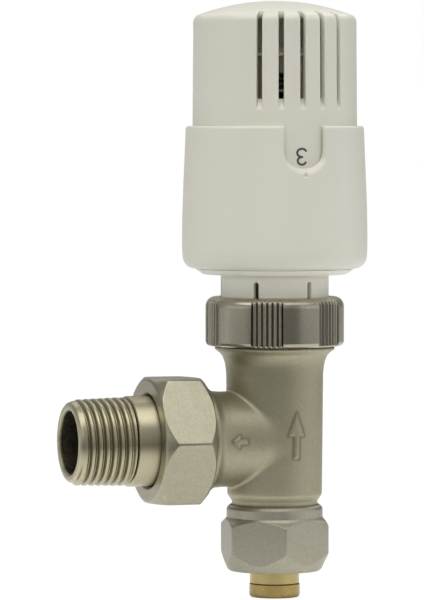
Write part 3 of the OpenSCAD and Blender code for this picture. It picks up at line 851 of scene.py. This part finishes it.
def knurl_depth(place):
    """Depth at so many degrees past the start of a ribbed stretch."""
    if place < RIBBED:
        valley = abs(2 * ((place / (RIBBED / RIBS)) % 1) - 1)   # 0 on a crest
        depth = 0.20 + 0.56 * (valley ** 1.3)
        if not 0.35 < place < RIBBED - 0.35:
            depth = depth * 0.8 + 0.1
        edge = min(place, RIBBED - place)
        if edge < 0.4:
            depth *= min(1.0, 0.25 + edge / 0.5)
        return depth
    place -= RIBBED
    edge = min(place, PAD - place)
    return 0.0 if edge > 0.5 else 0.16 * (1 - edge / 0.5) ** 2


def make_ring_nut():
    pad_steps = graded([(0, 0.9, 0.15), (0.9, PAD - 0.9, 1.6), (PAD - 0.9, PAD, 0.15)])[:-1]
    angles = []
    for k in range(6):
        start = RING_START + PAD / 2 + 60 * k
        angles += list(start + np.linspace(0, RIBBED, RIBS * 12 + 1)[:-1])
        angles += list(start + RIBBED + pad_steps)
    angles = np.radians(np.array(angles))
    columns = []
    for angle in angles:
        r = RING_R - knurl_depth((math.degrees(angle) - RING_START - PAD / 2) % 60)
        points = [(15.0, 32.0), (15.0, 22.5, 0.12), (min(RING_R - 0.9, r - 0.2), 22.5, 0.1),
                  (min(RING_R - 0.25, r), 22.85, 0.2), (r, 23.5, 0.2), (r, 27.6)]
        for q in range(0, 91, 9):
            w = math.radians(q)
            points.append((min(RING_R - 2.2 + 2.2 * math.cos(w), r if q < 40 else math.inf),
                           31.9 + 2.5 * math.sin(w)))
        points += [(13.35, 34.4, 0.15), (13.35, 32.0)]
        columns.append(rounded(points))
    return loft("ring_nut_knurled", angles, columns, sharp=55)


# ------------------------------------------------------------------ valve body

# outlines are (r, h, fillet): the tube and its void about Z, the branch and its void
# about the tail's axis
TUBE_SHAPE = Outline(rounded([
    (-2, -21.7), (9.25, -21.7), (9.25, -16.8), (10.38, -16.5, 0.2), (10.42, -15.1, 0.3),
    (11.2, -14.0, 0.5), (11.45, -13.55, 0.4), (11.5, -12.95, 0.4), (11.7, 8), (11.76, 15.5),
    (11.9, 17.1, 2), (12.05, 18.1, 2), (12.3, 19.0, 2), (12.65, 19.9, 2), (13.15, 20.6, 1),
    (13.9, 21.2, 1), (14.5, 21.62, 0.3), (14.55, 22.36, 0.12), (13.9, 22.4), (13.7, 22.4),
    (13.7, 29.8, 0.3), (-2, 29.8)], 4))
BRANCH_SHAPE = Outline(rounded([
    (-2, 0), (11.55, 0), (11.55, 14.5), (11.75, 16.6, 2), (12.4, 17.6, 0.5),
    (12.85, 18.1, 0.3), (12.9, 18.4, 0.2), (12.9, 19.3, 0.25), (12.2, 19.6), (11.95, 19.8),
    (11.95, 27.8), (-2, 27.8)], 4))
TUBE_VOID = Outline(rounded([
    (-2, -23), (8.6, -23), (8.6, -22.01), (7.2, -20.6), (7.55, -20.3), (7.55, -10),
    (6.2, -10), (6.2, -3.6, 0.25), (7.3, -3.6, 0.25), (7.8, -5.2), (9.4, -5.2, 0.4),
    (9.4, 9.6), (10, 10.4), (10, 31), (-2, 31)]))
BRANCH_VOID = Outline(rounded([
    (-2, 8.6), (7.9, 8.6), (7.9, 23.6), (9.05, 23.6), (9.05, 29), (-2, 29)], 2))


def arrow(length, width):
    tip, barb, shaft = length / 2, width / 2, width / 6
    return Outline([(-tip, -shaft), (0, -shaft), (0, -barb), (tip, 0), (0, barb),
                    (0, shaft), (-tip, shaft)])


TUBE_ARROW = arrow(11, 4.2)
BRANCH_ARROW = arrow(3.8, 3.0)
ARROW_TOPS = (12.05, 11.98)     # radii of the arrows' faces
ARROW_ROOT = 11.2
ARROW_TURN = math.radians(7)    # the tube's arrow, round the tube


def arrow_distances(points):
    """For each raised flow arrow, the distance to its outline and the radius on its pipe."""
    x, y, z = points.T
    across = x * math.cos(ARROW_TURN) + y * math.sin(ARROW_TURN)
    return ((TUBE_ARROW(z - 1.2, across), np.hypot(x, y)),
            (BRANCH_ARROW(-(x + 12.9), z), np.hypot(y, z)))


def body_field(points):
    x, y, z = points.T
    tube_r = np.hypot(x, y)
    branch_r = np.hypot(y, z)
    solid = smooth_min(TUBE_SHAPE(tube_r, z), BRANCH_SHAPE(branch_r, -x), 0.7)
    raised = []
    for (distance, radius), top in zip(arrow_distances(points), ARROW_TOPS):
        block = smooth_max(distance, radius - top, 0.4)
        raised.append(np.where(y < 0, np.maximum(block, ARROW_ROOT - radius), 9))
    solid = smooth_min(solid, np.minimum(*raised), 0.28)
    void = np.minimum(TUBE_VOID(tube_r, z), BRANCH_VOID(branch_r, -x))
    return np.maximum(solid, -void)


def arrow_foot_shade(points):
    """Painted shade in a line round the foot of the raised arrows."""
    out = np.zeros(len(points))
    for distance, radius in arrow_distances(points):
        ring = np.exp(-((distance - 0.22) / 0.34) ** 2) * 0.6
        out = np.maximum(out, np.where((points[:, 1] < 0) & (radius > ARROW_ROOT), ring, 0))
    return out


def thread_sleeve(name, inner, root, crest, start, length, pitch=PITCH, axis="z"):
    """A sleeve with a helical external thread that runs out at both ends."""
    run_out = 0.5       # length of the fade at each end
    flat = 0.16         # share of the half pitch that is flat at crest and at root
    angles = np.linspace(0, TAU, 112, endpoint=False)
    rows = int(round(length / pitch * 12))
    columns = []
    for angle in angles:
        points = [(inner, start)]
        for j in range(rows + 1):
            h = start + length * j / rows
            phase = ((h - start) / pitch - angle / TAU) % 1
            rise = min(1, max(0, (abs(2 * phase - 1) - flat) / (1 - 2 * flat)))
            rise = rise * rise * (3 - 2 * rise) * 0.35 + rise * 0.65
            fade = max(0.0, min(1, (h - start) / run_out, (start + length - h) / run_out))
            points.append((root + (crest - root) * rise * fade, h))
        points.append((inner, start + length))
        columns.append(points)
    return loft(name, angles, columns, axis, sharp=None, weighted=False)


def make_body():
    step = 0.34
    grid = (np.arange(-28.4, 15.2, step), np.arange(-15.1, 15.2, step),
            np.arange(-22.5, 30.5, step))
    ob = join("valve_body_forging", [
        nets("body_core", body_field, grid, polar=False, relax=True),
        thread_sleeve("head_thread", inner=13.3, root=13.9, crest=14.85, start=22.35,
                      length=7.5, pitch=1.5),
        thread_sleeve("inlet_thread", inner=8.9, root=9.35, crest=10.4, start=-21.95,
                      length=5.4),
        thread_sleeve("union_thread", inner=11.4, root=12.05, crest=13.15, start=19.75,
                      length=8.2, axis="x")])
    set_mark(ob, arrow_foot_shade)
    return ob


# ------------------------------------------------------------------ hexagon nuts

HEX_CORNER = 0.7
# degrees from the middle of a flat, closer together towards the corners
HEX_ANGLES = [60 * k + a for k in range(6) for a in graded([
    (-30, -27.6, 0.6), (-27.6, -24, 1.2), (-24, 24, 2.4), (24, 27.6, 1.2),
    (27.6, 30, 0.6)])[:-1]]


def hex_radius(degrees, across_flats):
    """Radius of a round-cornered hexagon at so many degrees from the middle of a flat."""
    apothem = across_flats / 2
    centre = (apothem - HEX_CORNER) / math.cos(math.radians(30))
    flat_end = math.atan((apothem - HEX_CORNER) * math.tan(math.radians(30)) / apothem)
    turn = abs(((degrees + 30) % 60) - 30)
    if turn < math.degrees(flat_end):
        return apothem / math.cos(math.radians(turn))
    q = math.radians(30 - turn)
    return (centre * math.cos(q)
            + math.sqrt(max(HEX_CORNER ** 2 - (centre * math.sin(q)) ** 2, 0)))


def chamfer(curve, radius):
    """Four points along a (r, h) curve after its start, the last where it reaches radius."""
    curve = np.array(curve, float)
    lengths = arc_lengths(curve)
    samples = np.linspace(0, lengths[-1], 200)
    radii = np.interp(samples, lengths, curve[:, 0])
    k = int(np.argmax(radii >= radius))
    end = samples[k - 1] + ((samples[k] - samples[k - 1]) * (radius - radii[k - 1])
                            / (radii[k] - radii[k - 1]))
    points = [(float(np.interp(s, lengths, curve[:, 0])),
               float(np.interp(s, lengths, curve[:, 1]))) for s in np.linspace(0, end, 5)]
    return points[1:-1] + [(*points[-1], 0.35)]


def hex_nut(name, across_flats, before, first_curve, flat_heights, last_curve, after,
            axis, turn):
    """A nut whose profile runs through before, out along first_curve to the flats, and
    back along last_curve to after."""
    columns = []
    for degrees in HEX_ANGLES:
        r = hex_radius(degrees, across_flats)
        columns.append(rounded(
            before + chamfer(first_curve, r) + [(r, h) for h in flat_heights]
            + chamfer(last_curve, r)[::-1] + after))
    angles = np.array([math.radians(a) for a in HEX_ANGLES]) + math.radians(turn)
    return loft(name, angles, columns, axis)


def make_union_nut():
    return hex_nut(
        "union_nut_hex", across_flats=30.0,
        before=[(11.1, 30.7), (13.3, 30.7), (13.3, 20.4), (13.6, 19.5, 0.12)],
        first_curve=[(13.6, 19.5), (14.5, 19.5), (14.9, 19.7), (17.6, 22.5)],
        flat_heights=(24.5, 26.5, 28.8),
        last_curve=[(14.5, 32.8), (14.85, 32.72), (15.15, 32.5), (17.6, 29.85)],
        after=[(14.5, 32.8, 0.2), (11.75, 32.8, 0.15), (11.1, 32.3, 0.15)],
        axis="x", turn=0)


def make_compression_nut():
    return hex_nut(
        "compression_nut_hex", across_flats=24.0,
        before=[(10.55, -22.9), (7.65, -25.81), (7.65, -32.1, 0.25), (10.9, -32.1, 0.12)],
        first_curve=[(10.9, -32.1), (11.4, -31.72), (11.85, -30.75), (12.35, -29.55),
                     (14.0, -27.2)],
        flat_heights=(-26.4, -24.6, -22.9),
        last_curve=[(11.68, -19.1), (12.0, -19.62), (14.2, -21.35)],
        after=[(11.68, -19.1, 0.3), (11.68, -17.1, 0.4), (11.4, -16.5, 0.3),
               (10.8, -16.0, 0.15), (10.55, -16.25)],
        axis="z", turn=-98.4 + 30)      # a corner stands at -98.4 degrees


# ------------------------------------------------------------------ tail piece

TAIL_BORE = 7.55
TAIL_THREAD = (TAIL - 1.0, TAIL - 14.15)    # from the open end inwards
TAIL_ROWS = 112
LUG = (5, 2.2, 1.9)                         # size along X, Y and Z


def tail_thread_radius(h, angle):
    start, end = TAIL_THREAD
    phase = ((start - h) / PITCH + angle / TAU) % 1
    rise = min(1, max(0, (abs(2 * phase - 1) - 0.12) / 0.62))
    rise = 0.45 * rise + 0.55 * rise * rise * (3 - 2 * rise)
    crest = 10.28 + (start - h) / 32
    fade = min(1.0, max(0.0, (h - end - 0.3) / 0.5))
    lead = min(1.0, max(0.0, (start - h) / 0.9))
    r = crest - 0.92 * (1 - rise) - (1 - fade) * 0.35 * rise
    return min(r, 9.75 + 0.62 * lead) if lead < 1 else r


def make_lug(side):
    """A block inside the bore near the open end, above (1) or below (-1) the axis."""
    bm = bmesh.new()
    bmesh.ops.create_cube(bm, size=1)
    for v in bm.verts:
        v.co = Vector(((-(TAIL - 3) + LUG[0] / 2 + v.co.x * LUG[0]) * MM,
                       v.co.y * LUG[1] * MM,
                       (LIFT + side * (TAIL_BORE - 1.3 + LUG[2] / 2 + v.co.z * LUG[2])) * MM))
    bmesh.ops.recalc_face_normals(bm, faces=bm.faces)
    bmesh.ops.bevel(bm, geom=list(bm.edges), offset=0.25 * MM, segments=3, profile=0.5,
                    affect="EDGES")
    me = bpy.data.meshes.new("lug")
    bm.to_mesh(me)
    bm.free()
    return link_object("lug", me)


def make_tail():
    start, end = TAIL_THREAD
    heights = [start + (end - start) * j / TAIL_ROWS for j in range(TAIL_ROWS + 1)]
    mouth = [(TAIL_BORE, TAIL - 0.6, 0.15), (TAIL_BORE + 0.5, TAIL, 0.15), (9.1, TAIL, 0.25),
             (9.7, TAIL - 0.5, 0.3)]
    inner_end = [
        (9.55, TAIL - 14.2), (10.9, TAIL - 14.7, 0.25), (10.9, 30.6, 0.2), (12.4, 30.45, 0.2),
        (12.9, 30, 0.2), (12.9, 28.05, 0.2), (8.95, 28.05), (8.95, 27.5), (8.0, 27.5),
        (8.0, 25.4), (8.95, 25.4), (8.95, 24.6, 0.1), (8.5, 24, 0.1), (TAIL_BORE, 24, 0.1)]
    angles = np.linspace(0, TAU, 128, endpoint=False)
    columns = [rounded(mouth + [(tail_thread_radius(h, a), h) for h in heights] + inner_end)
               for a in angles]
    name = "tail_piece_threaded"
    pipe = loft(name, angles, columns, "x", sharp=50, weighted=False)
    ob = join(name, [pipe, make_lug(1), make_lug(-1)])

    # painted shade: the inside of the bore is marked to be darkened
    def bore_painted_shade(points):
        x, y, z = points.T
        in_bore = (np.hypot(y, z) < TAIL_BORE + 0.3) & (-x < TAIL - 0.15)
        return np.where(in_bore, 0.92, 0.0)

    set_mark(ob, bore_painted_shade)
    return ob


# ------------------------------------------------------------------ numerals

NUMERAL_SIZE = np.array([2.45, 3.75])
NUMERAL_Z = 68.35
STROKE_HALF = 0.27
# strokes in a unit square, in the order they stand round the skirt
GLYPHS = {
    "0": [[(0.5 + 0.45 * math.sin(a), 0.5 + 0.5 * math.cos(a))
           for a in np.linspace(0, TAU, 25)]],
    "frost": [[(0.5, 0.12), (0.5, 0.88)], [(0.1, 0.31), (0.9, 0.69)],
              [(0.1, 0.69), (0.9, 0.31)], [(0.38, 0.22), (0.5, 0.32), (0.62, 0.22)],
              [(0.38, 0.78), (0.5, 0.68), (0.62, 0.78)]],
    "1": [[(0.2, 0.78), (0.55, 1.0), (0.55, 0.0)], [(0.25, 0.0), (0.85, 0.0)]],
    "2": [[(0.06, 0.78), (0.14, 0.93), (0.36, 1.0), (0.64, 1.0), (0.86, 0.9), (0.92, 0.72),
           (0.84, 0.56), (0.5, 0.3), (0.04, 0.0), (0.96, 0.0)]],
    "3": [[(0.08, 0.86), (0.25, 0.97), (0.5, 1.0), (0.78, 0.93), (0.9, 0.76), (0.8, 0.6),
           (0.58, 0.53), (0.42, 0.52)],
          [(0.42, 0.52), (0.64, 0.5), (0.88, 0.4), (0.95, 0.24), (0.84, 0.08), (0.55, 0.0),
           (0.25, 0.02), (0.04, 0.14)]],
    "4": [[(0.72, 0.0), (0.72, 1.0), (0.02, 0.28), (0.98, 0.28)]],
    "5": [[(0.88, 1.0), (0.2, 1.0), (0.12, 0.55), (0.4, 0.63), (0.7, 0.6), (0.92, 0.42),
           (0.93, 0.24), (0.78, 0.06), (0.5, 0.0), (0.22, 0.02), (0.04, 0.12)]],
}
STRAIGHT = ("frost", "1", "4")      # drawn with straight strokes


def smooth_line(points):
    points = np.array(points, float)
    out = [spline_point(points, i, t) for i in range(len(points) - 1)
           for t in np.linspace(0, 1, 6, endpoint=False)]
    out.append(points[-1])
    return np.array(out)


def stroke_parts(key):
    """The glyph's strokes in mm about its middle, turned upside down as printed."""
    for stroke in GLYPHS[key]:
        line = np.array(stroke, float) if key in STRAIGHT else smooth_line(stroke)
        line = -((line - 0.5) * NUMERAL_SIZE)
        if key in STRAIGHT:
            yield from (line[i:i + 2] for i in range(len(line) - 1))
        else:
            lengths = arc_lengths(line)
            t = np.linspace(0, lengths[-1], int(lengths[-1] / 0.22) + 1)
            yield np.stack([np.interp(t, lengths, line[:, k]) for k in (0, 1)], 1)


def make_numeral(key, angle):
    """A numeral as thin closed ribbons of ink on the skirt."""
    verts, faces = [], []
    for part in stroke_parts(key):
        along = np.zeros_like(part)
        if len(part) > 2:
            along[1:-1] = part[2:] - part[:-2]
        along[0], along[-1] = part[1] - part[0], part[-1] - part[-2]
        along /= np.linalg.norm(along, axis=1)[:, None]
        normals = np.stack([-along[:, 1], along[:, 0]], 1)
        # narrower ends, a little beyond the line's own
        line = np.vstack([part[0] - along[0] * STROKE_HALF * 0.7, part,
                          part[-1] + along[-1] * STROKE_HALF * 0.7])
        normals = np.vstack([normals[0] * 0.55, normals, normals[-1] * 0.55])
        base = len(verts)
        for point, normal in zip(line, normals):
            for side, rise in ((1, 0.035), (-1, 0.035), (-1, -0.12), (1, -0.12)):
                u, v = point + normal * STROKE_HALF * side
                turn = angle + u / SKIRT_R
                verts.append(((SKIRT_R + rise) * math.cos(turn),
                              (SKIRT_R + rise) * math.sin(turn), NUMERAL_Z + v))
        last = base + 4 * (len(line) - 1)
        for ring in range(base, last, 4):
            for a in range(4):
                b = (a + 1) % 4
                faces.append((ring + a, ring + b, ring + 4 + b, ring + 4 + a))
        faces.append(tuple(base + a for a in (3, 2, 1, 0)))
        faces.append(tuple(last + a for a in (0, 1, 2, 3)))
    me = bpy.data.meshes.new("numeral_" + key)
    me.from_pydata(((np.array(verts) + UP) * MM).tolist(), [], faces)
    bm = bmesh.new()
    bm.from_mesh(me)
    bmesh.ops.recalc_face_normals(bm, faces=bm.faces)
    bm.to_mesh(me)
    bm.free()
    return link_object("numeral_" + key, me)


# ------------------------------------------------------------------ build

# maker, material, the body it rides on, material slot, the node it replaces
PIECES = [
    (make_cap, WHITE, "dial", "white_plastic", "temperature_cap"),
    (make_collar, WHITE, "valve", "white_plastic", "index_collar"),
    (make_base, WHITE_WITH_PAINTED_LIGHT, "valve", "white_plastic", "head_base"),
    (make_ring_nut, RING_NICKEL, "ring_nut", "nickel_brass", "ring_nut"),
    (make_body, FORGED, "valve", "nickel_brass", "valve_body"),
    (make_union_nut, MACHINED, "union_nut", "nickel_brass", "union_nut"),
    (make_compression_nut, SATIN, "compression_nut", "nickel_brass", "compression_nut"),
    (make_tail, TURNED, "tail", "nickel_brass", "tail_piece"),
]
for make, *looks in PIECES:
    dress(make(), *looks)

# turned pieces: name, (r, h, fillet) profile, then as above
TURNED_PIECES = [
    ("slip_washer_ring",
     [(13.2, 31.54, 0.08), (14.7, 31.54, 0.08), (14.7, 31.96, 0.08), (13.2, 31.96, 0.08)],
     DARK, "washer", "dark_plastic", "slip_washer"),
    ("pipe_reducer_stub",
     [(5.05, -38.4, 0.1), (5.5, -38.4), (5.5, -35.28), (5.9, -35.2, 0.05),
      (5.98, -35.1, 0.06), (5.98, -32.0), (7.2, -32, 0.2), (7.5, -31.7, 0.2),
      (7.5, -11.5, 0.2), (7.0, -11, 0.2), (4.5, -11, 0.15), (4.5, -16, 0.1), (5.05, -16)],
     BRASS, "reducer", "bare_brass", "pipe_reducer"),
    ("reducer_ferrule_rim",
     [(5.53, -35.29), (6.0, -35.29, 0.06), (6.12, -35.45, 0.12), (6.15, -37.7, 0.5),
      (6.0, -38.2, 0.4), (5.8, -38.5, 0.2), (5.53, -38.6, 0.08)],
     COPPER, "reducer", "copper", "reducer_ferrule"),
    ("olive_ring",
     [(7.52, -21.15, 0.05), (7.6, -21.15, 0.05), (8.5, -22.1, 0.5), (9.4, -23.0, 0.4),
      (9.4, -23.4, 0.4), (9.1, -24.1, 0.4), (7.8, -25.4, 0.1), (7.52, -25.4, 0.05)],
     BRASS, "reducer", "bare_brass", "olive"),
]
for name, profile, *looks in TURNED_PIECES:
    dress(lathe(name, profile), *looks)

# the 3 stands in the window and higher numbers come round from the left
for i, key in enumerate(GLYPHS):
    dress(make_numeral(key, math.radians(-91.25 - 45 * (i - 4))), INK, "dial", "dark_plastic")

# pieces that keep the frame's own meshes
FRAME_MATERIALS = {
    "cap_retaining_ring": STEEL, "sensor_carrier": GREY, "spring_cap": WHITE,
    "overtravel_spring": STEEL, "sensor_capsule": CAN, "push_rod": DARK, "headwork": BRASS,
    "headwork_oring": RUBBER, "gland_nut": BRASS, "gland_oring": RUBBER, "spindle": STEEL,
    "spindle_clip": STEEL, "guide_bush": BRASS, "return_spring": STEEL,
    "plug_holder": BRASS, "plug_washer": RUBBER, "plug_nut": BRASS, "union_oring": RUBBER,
}
for name, material in FRAME_MATERIALS.items():
    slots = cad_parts[name].data.materials
    slots.clear()
    slots.append(material)

# ------------------------------------------------------------------ sweep, in metres

AZIMUTH = math.radians(20)      # the camera stands this far round from -Y towards the tail
TO_CAMERA = (-math.sin(AZIMUTH), -math.cos(AZIMUTH), 0.0)
FLOOR_GLOW = 0.30
SWEEP_R = 0.9                   # radius of the curve, and the y where it begins


def sweep_material():
    """Pale and nearly shadowless to the camera; to other rays, paper with painted shade on the
    camera's side and a glow round the valve.
    """
    material = bpy.data.materials.new("paper_sweep")
    material.use_nodes = True
    tree = material.node_tree
    new, link = tree.nodes.new, tree.links.new
    tree.nodes.clear()
    out = new("ShaderNodeOutputMaterial")
    diffuse = new("ShaderNodeBsdfDiffuse")
    white = new("ShaderNodeEmission")
    look = new("ShaderNodeMixShader")
    path = new("ShaderNodeLightPath")
    camera_ray = path.outputs["Is Camera Ray"]
    clouds = noise(tree, scale=4, detail=2, rough=0.5)
    paper = mix(tree, clouds, (0.90, 0.90, 0.90), (0.88, 0.88, 0.88))
    # painted shade: to rays other than the camera's, the paper on the camera's side is painted
    # dark, standing for a dark room there
    geometry = new("ShaderNodeNewGeometry")
    ahead = new("ShaderNodeVectorMath")
    ahead.operation = "DOT_PRODUCT"
    ahead.inputs[1].default_value = TO_CAMERA
    link(geometry.outputs["Position"], ahead.inputs[0])
    away = new("ShaderNodeVectorMath")
    away.operation = "LENGTH"
    link(geometry.outputs["Position"], away.inputs[0])
    near = ramp(tree, ahead.outputs["Value"], [(0.04, 1.0), (0.17, 0.0)])
    near.node.color_ramp.interpolation = "EASE"
    paper_with_painted_shade = mix(tree, near, (0.12, 0.12, 0.12), paper)
    link(mix(tree, camera_ray, paper_with_painted_shade, paper), diffuse.inputs["Color"])
    # a glow round the valve that the camera doesn't see
    glow = new("ShaderNodeEmission")
    disc = ramp(tree, away.outputs["Value"], [(0.06, 1.0), (0.30, 0.0)])
    strength = math_node(tree, "MULTIPLY", near, disc)
    strength = math_node(tree, "MULTIPLY", strength, FLOOR_GLOW)
    unseen = math_node(tree, "SUBTRACT", 1.0, camera_ray)
    link(math_node(tree, "MULTIPLY", strength, unseen), glow.inputs["Strength"])
    lit = new("ShaderNodeAddShader")
    link(diffuse.outputs[0], lit.inputs[0])
    link(glow.outputs[0], lit.inputs[1])
    white.inputs["Color"].default_value = (1, 1, 1, 1)
    white.inputs["Strength"].default_value = 1.06
    link(math_node(tree, "MULTIPLY", camera_ray, 0.91), look.inputs[0])
    link(lit.outputs[0], look.inputs[1])
    link(white.outputs[0], look.inputs[2])
    # a camera behind the sweep's wall or under its floor looks through it
    clear = new("ShaderNodeBsdfTransparent")
    through = new("ShaderNodeMixShader")
    behind = math_node(tree, "MULTIPLY", camera_ray, geometry.outputs["Backfacing"])
    link(behind, through.inputs[0])
    link(look.outputs[0], through.inputs[1])
    link(clear.outputs[0], through.inputs[2])
    link(through.outputs[0], out.inputs["Surface"])
    return material


def make_sweep():
    """A floor, a long curve and a back wall in one sheet."""
    floor_z = cad_bounds[0][2] - 0.0004
    profile = [(-2.6, 0.0), (SWEEP_R, 0.0)]     # (y, height)
    for k in range(1, 25):
        a = math.pi / 2 * k / 24
        profile.append((SWEEP_R + SWEEP_R * math.sin(a), SWEEP_R - SWEEP_R * math.cos(a)))
    profile.append((SWEEP_R + SWEEP_R, 3.2))
    columns = np.linspace(-2.4, 2.4, 9)
    verts = [(x, y, z + floor_z) for x in columns for y, z in profile]
    m = len(profile)
    faces = [(i * m + j, (i + 1) * m + j, (i + 1) * m + j + 1, i * m + j + 1)
             for i in range(len(columns) - 1) for j in range(m - 1)]
    me = bpy.data.meshes.new("sweep")
    me.from_pydata(verts, [], faces)
    me.shade_smooth()
    ob = link_object("sweep", me)
    ob.data.materials.append(sweep_material())


make_sweep()

# ------------------------------------------------------------------ lights

LIGHT_TARGET = Vector((0, 0, (35 + LIFT) * MM))
LIGHT_DISTANCE = 1.15
WARM = (1.0, 0.995, 0.975)
COOL = (0.98, 0.99, 1.0)
# name, degrees to the camera's right, degrees up, width, height, watts, colour
SOFT_BOXES = [
    ("top_front", 0, 70, 1.1, 1.1, 5.2, WARM),
    ("left_high", -60, 50, 0.6, 0.6, 1.9, (1.0, 0.995, 0.97)),
    ("left_side", -100, 20, 0.5, 0.9, 0.25, (1, 1, 1)),
    ("left_low", -66, 8, 1.0, 0.6, 1.0, (1, 1, 1)),
    ("front_low", 0, 23, 0.6, 0.4, 0.5, (1, 1, 1)),
    ("front_fill", 0, 7, 1.0, 0.22, 2.65, WARM),
    ("right_high", 60, 50, 0.6, 0.6, 1.1, COOL),
    ("right_low", 62, 9, 0.8, 0.7, 1.05, COOL),
    ("right_side", 100, 20, 0.5, 0.9, 1.1, (0.97, 0.985, 1.0)),
    ("back_right", 150, 45, 0.7, 0.7, 2.4, (1, 1, 1)),
    ("back_left", -150, 45, 0.7, 0.7, 1.2, (1, 1, 1)),
]


def soft_box(name, side, up, width, height, power, colour):
    front = Vector(TO_CAMERA)
    right = Vector((math.cos(AZIMUTH), -math.sin(AZIMUTH), 0))
    a, e = math.radians(side), math.radians(up)
    direction = (front * math.cos(a) + right * math.sin(a)) * math.cos(e)
    direction = direction + Vector((0, 0, math.sin(e)))
    light = bpy.data.lights.new(name, "AREA")
    light.energy = power
    light.color = colour
    light.shape = "RECTANGLE"
    light.size = width
    light.size_y = height
    ob = link_object(name, light)
    ob.location = LIGHT_TARGET + direction * LIGHT_DISTANCE
    ob.rotation_euler = (LIGHT_TARGET - ob.location).to_track_quat("-Z", "Y").to_euler()
    ob.visible_camera = False
    # the fill is for matt surfaces only: the metal's frontal faces show the dark room
    ob.visible_glossy = name != "front_fill"


for box in SOFT_BOXES:
    soft_box(*box)

# ------------------------------------------------------------------ world


def make_world():
    world = bpy.data.worlds.new("studio")
    bpy.context.scene.world = world
    world.use_nodes = True
    tree = world.node_tree
    tree.nodes.clear()
    out = tree.nodes.new("ShaderNodeOutputWorld")
    background = tree.nodes.new("ShaderNodeBackground")
    tree.links.new(background.outputs[0], out.inputs[0])
    coords = tree.nodes.new("ShaderNodeTexCoord")
    split = tree.nodes.new("ShaderNodeSeparateXYZ")
    tree.links.new(coords.outputs["Generated"], split.inputs[0])
    height = math_node(tree, "MULTIPLY_ADD", split.outputs["Z"], 0.5, 0.5)
    room = ramp(tree, height, [(0.0, 0.25), (0.5, 0.22), (0.75, 0.27), (1.0, 0.30)])
    # the room round the camera, seen in the metal's frontal faces
    facing = tree.nodes.new("ShaderNodeVectorMath")
    facing.operation = "DOT_PRODUCT"
    facing.inputs[1].default_value = TO_CAMERA
    tree.links.new(coords.outputs["Generated"], facing.inputs[0])
    front = ramp(tree, facing.outputs["Value"], [(0.62, 0.0), (0.82, 1.0)])
    room = mix(tree, front, room, (0.30, 0.30, 0.30))
    path = tree.nodes.new("ShaderNodeLightPath")
    colour = mix(tree, path.outputs["Is Camera Ray"], room, (0.975, 0.975, 0.975))
    tree.links.new(colour, background.inputs["Color"])
    background.inputs["Strength"].default_value = 1.0


make_world()

# ------------------------------------------------------------------ camera

CAMERA_DISTANCE = 1.135     # metres from the Z axis
CAMERA_Z = 75.4
AIM_LEFT = 0.0152           # metres the aim stands to the camera's left of the Z axis
AIM_Z = 33.5


def make_camera():
    camera = bpy.data.cameras.new("camera")
    camera.sensor_width = 36
    camera.lens = 281.0
    camera.clip_start = 0.05
    camera.clip_end = 20
    ob = link_object("camera", camera)
    ob.location = (-math.sin(AZIMUTH) * CAMERA_DISTANCE, -math.cos(AZIMUTH) * CAMERA_DISTANCE,
                   (CAMERA_Z + LIFT) * MM)
    aim = Vector((-AIM_LEFT * math.cos(AZIMUTH), AIM_LEFT * math.sin(AZIMUTH),
                  (AIM_Z + LIFT) * MM))
    ob.rotation_euler = (aim - ob.location).to_track_quat("-Z", "Y").to_euler()
    bpy.context.scene.camera = ob


make_camera()
view = bpy.context.scene.view_settings
view.view_transform = "Standard"
view.look = "None"
view.exposure = 0.0

bpy.context.view_layer.update()
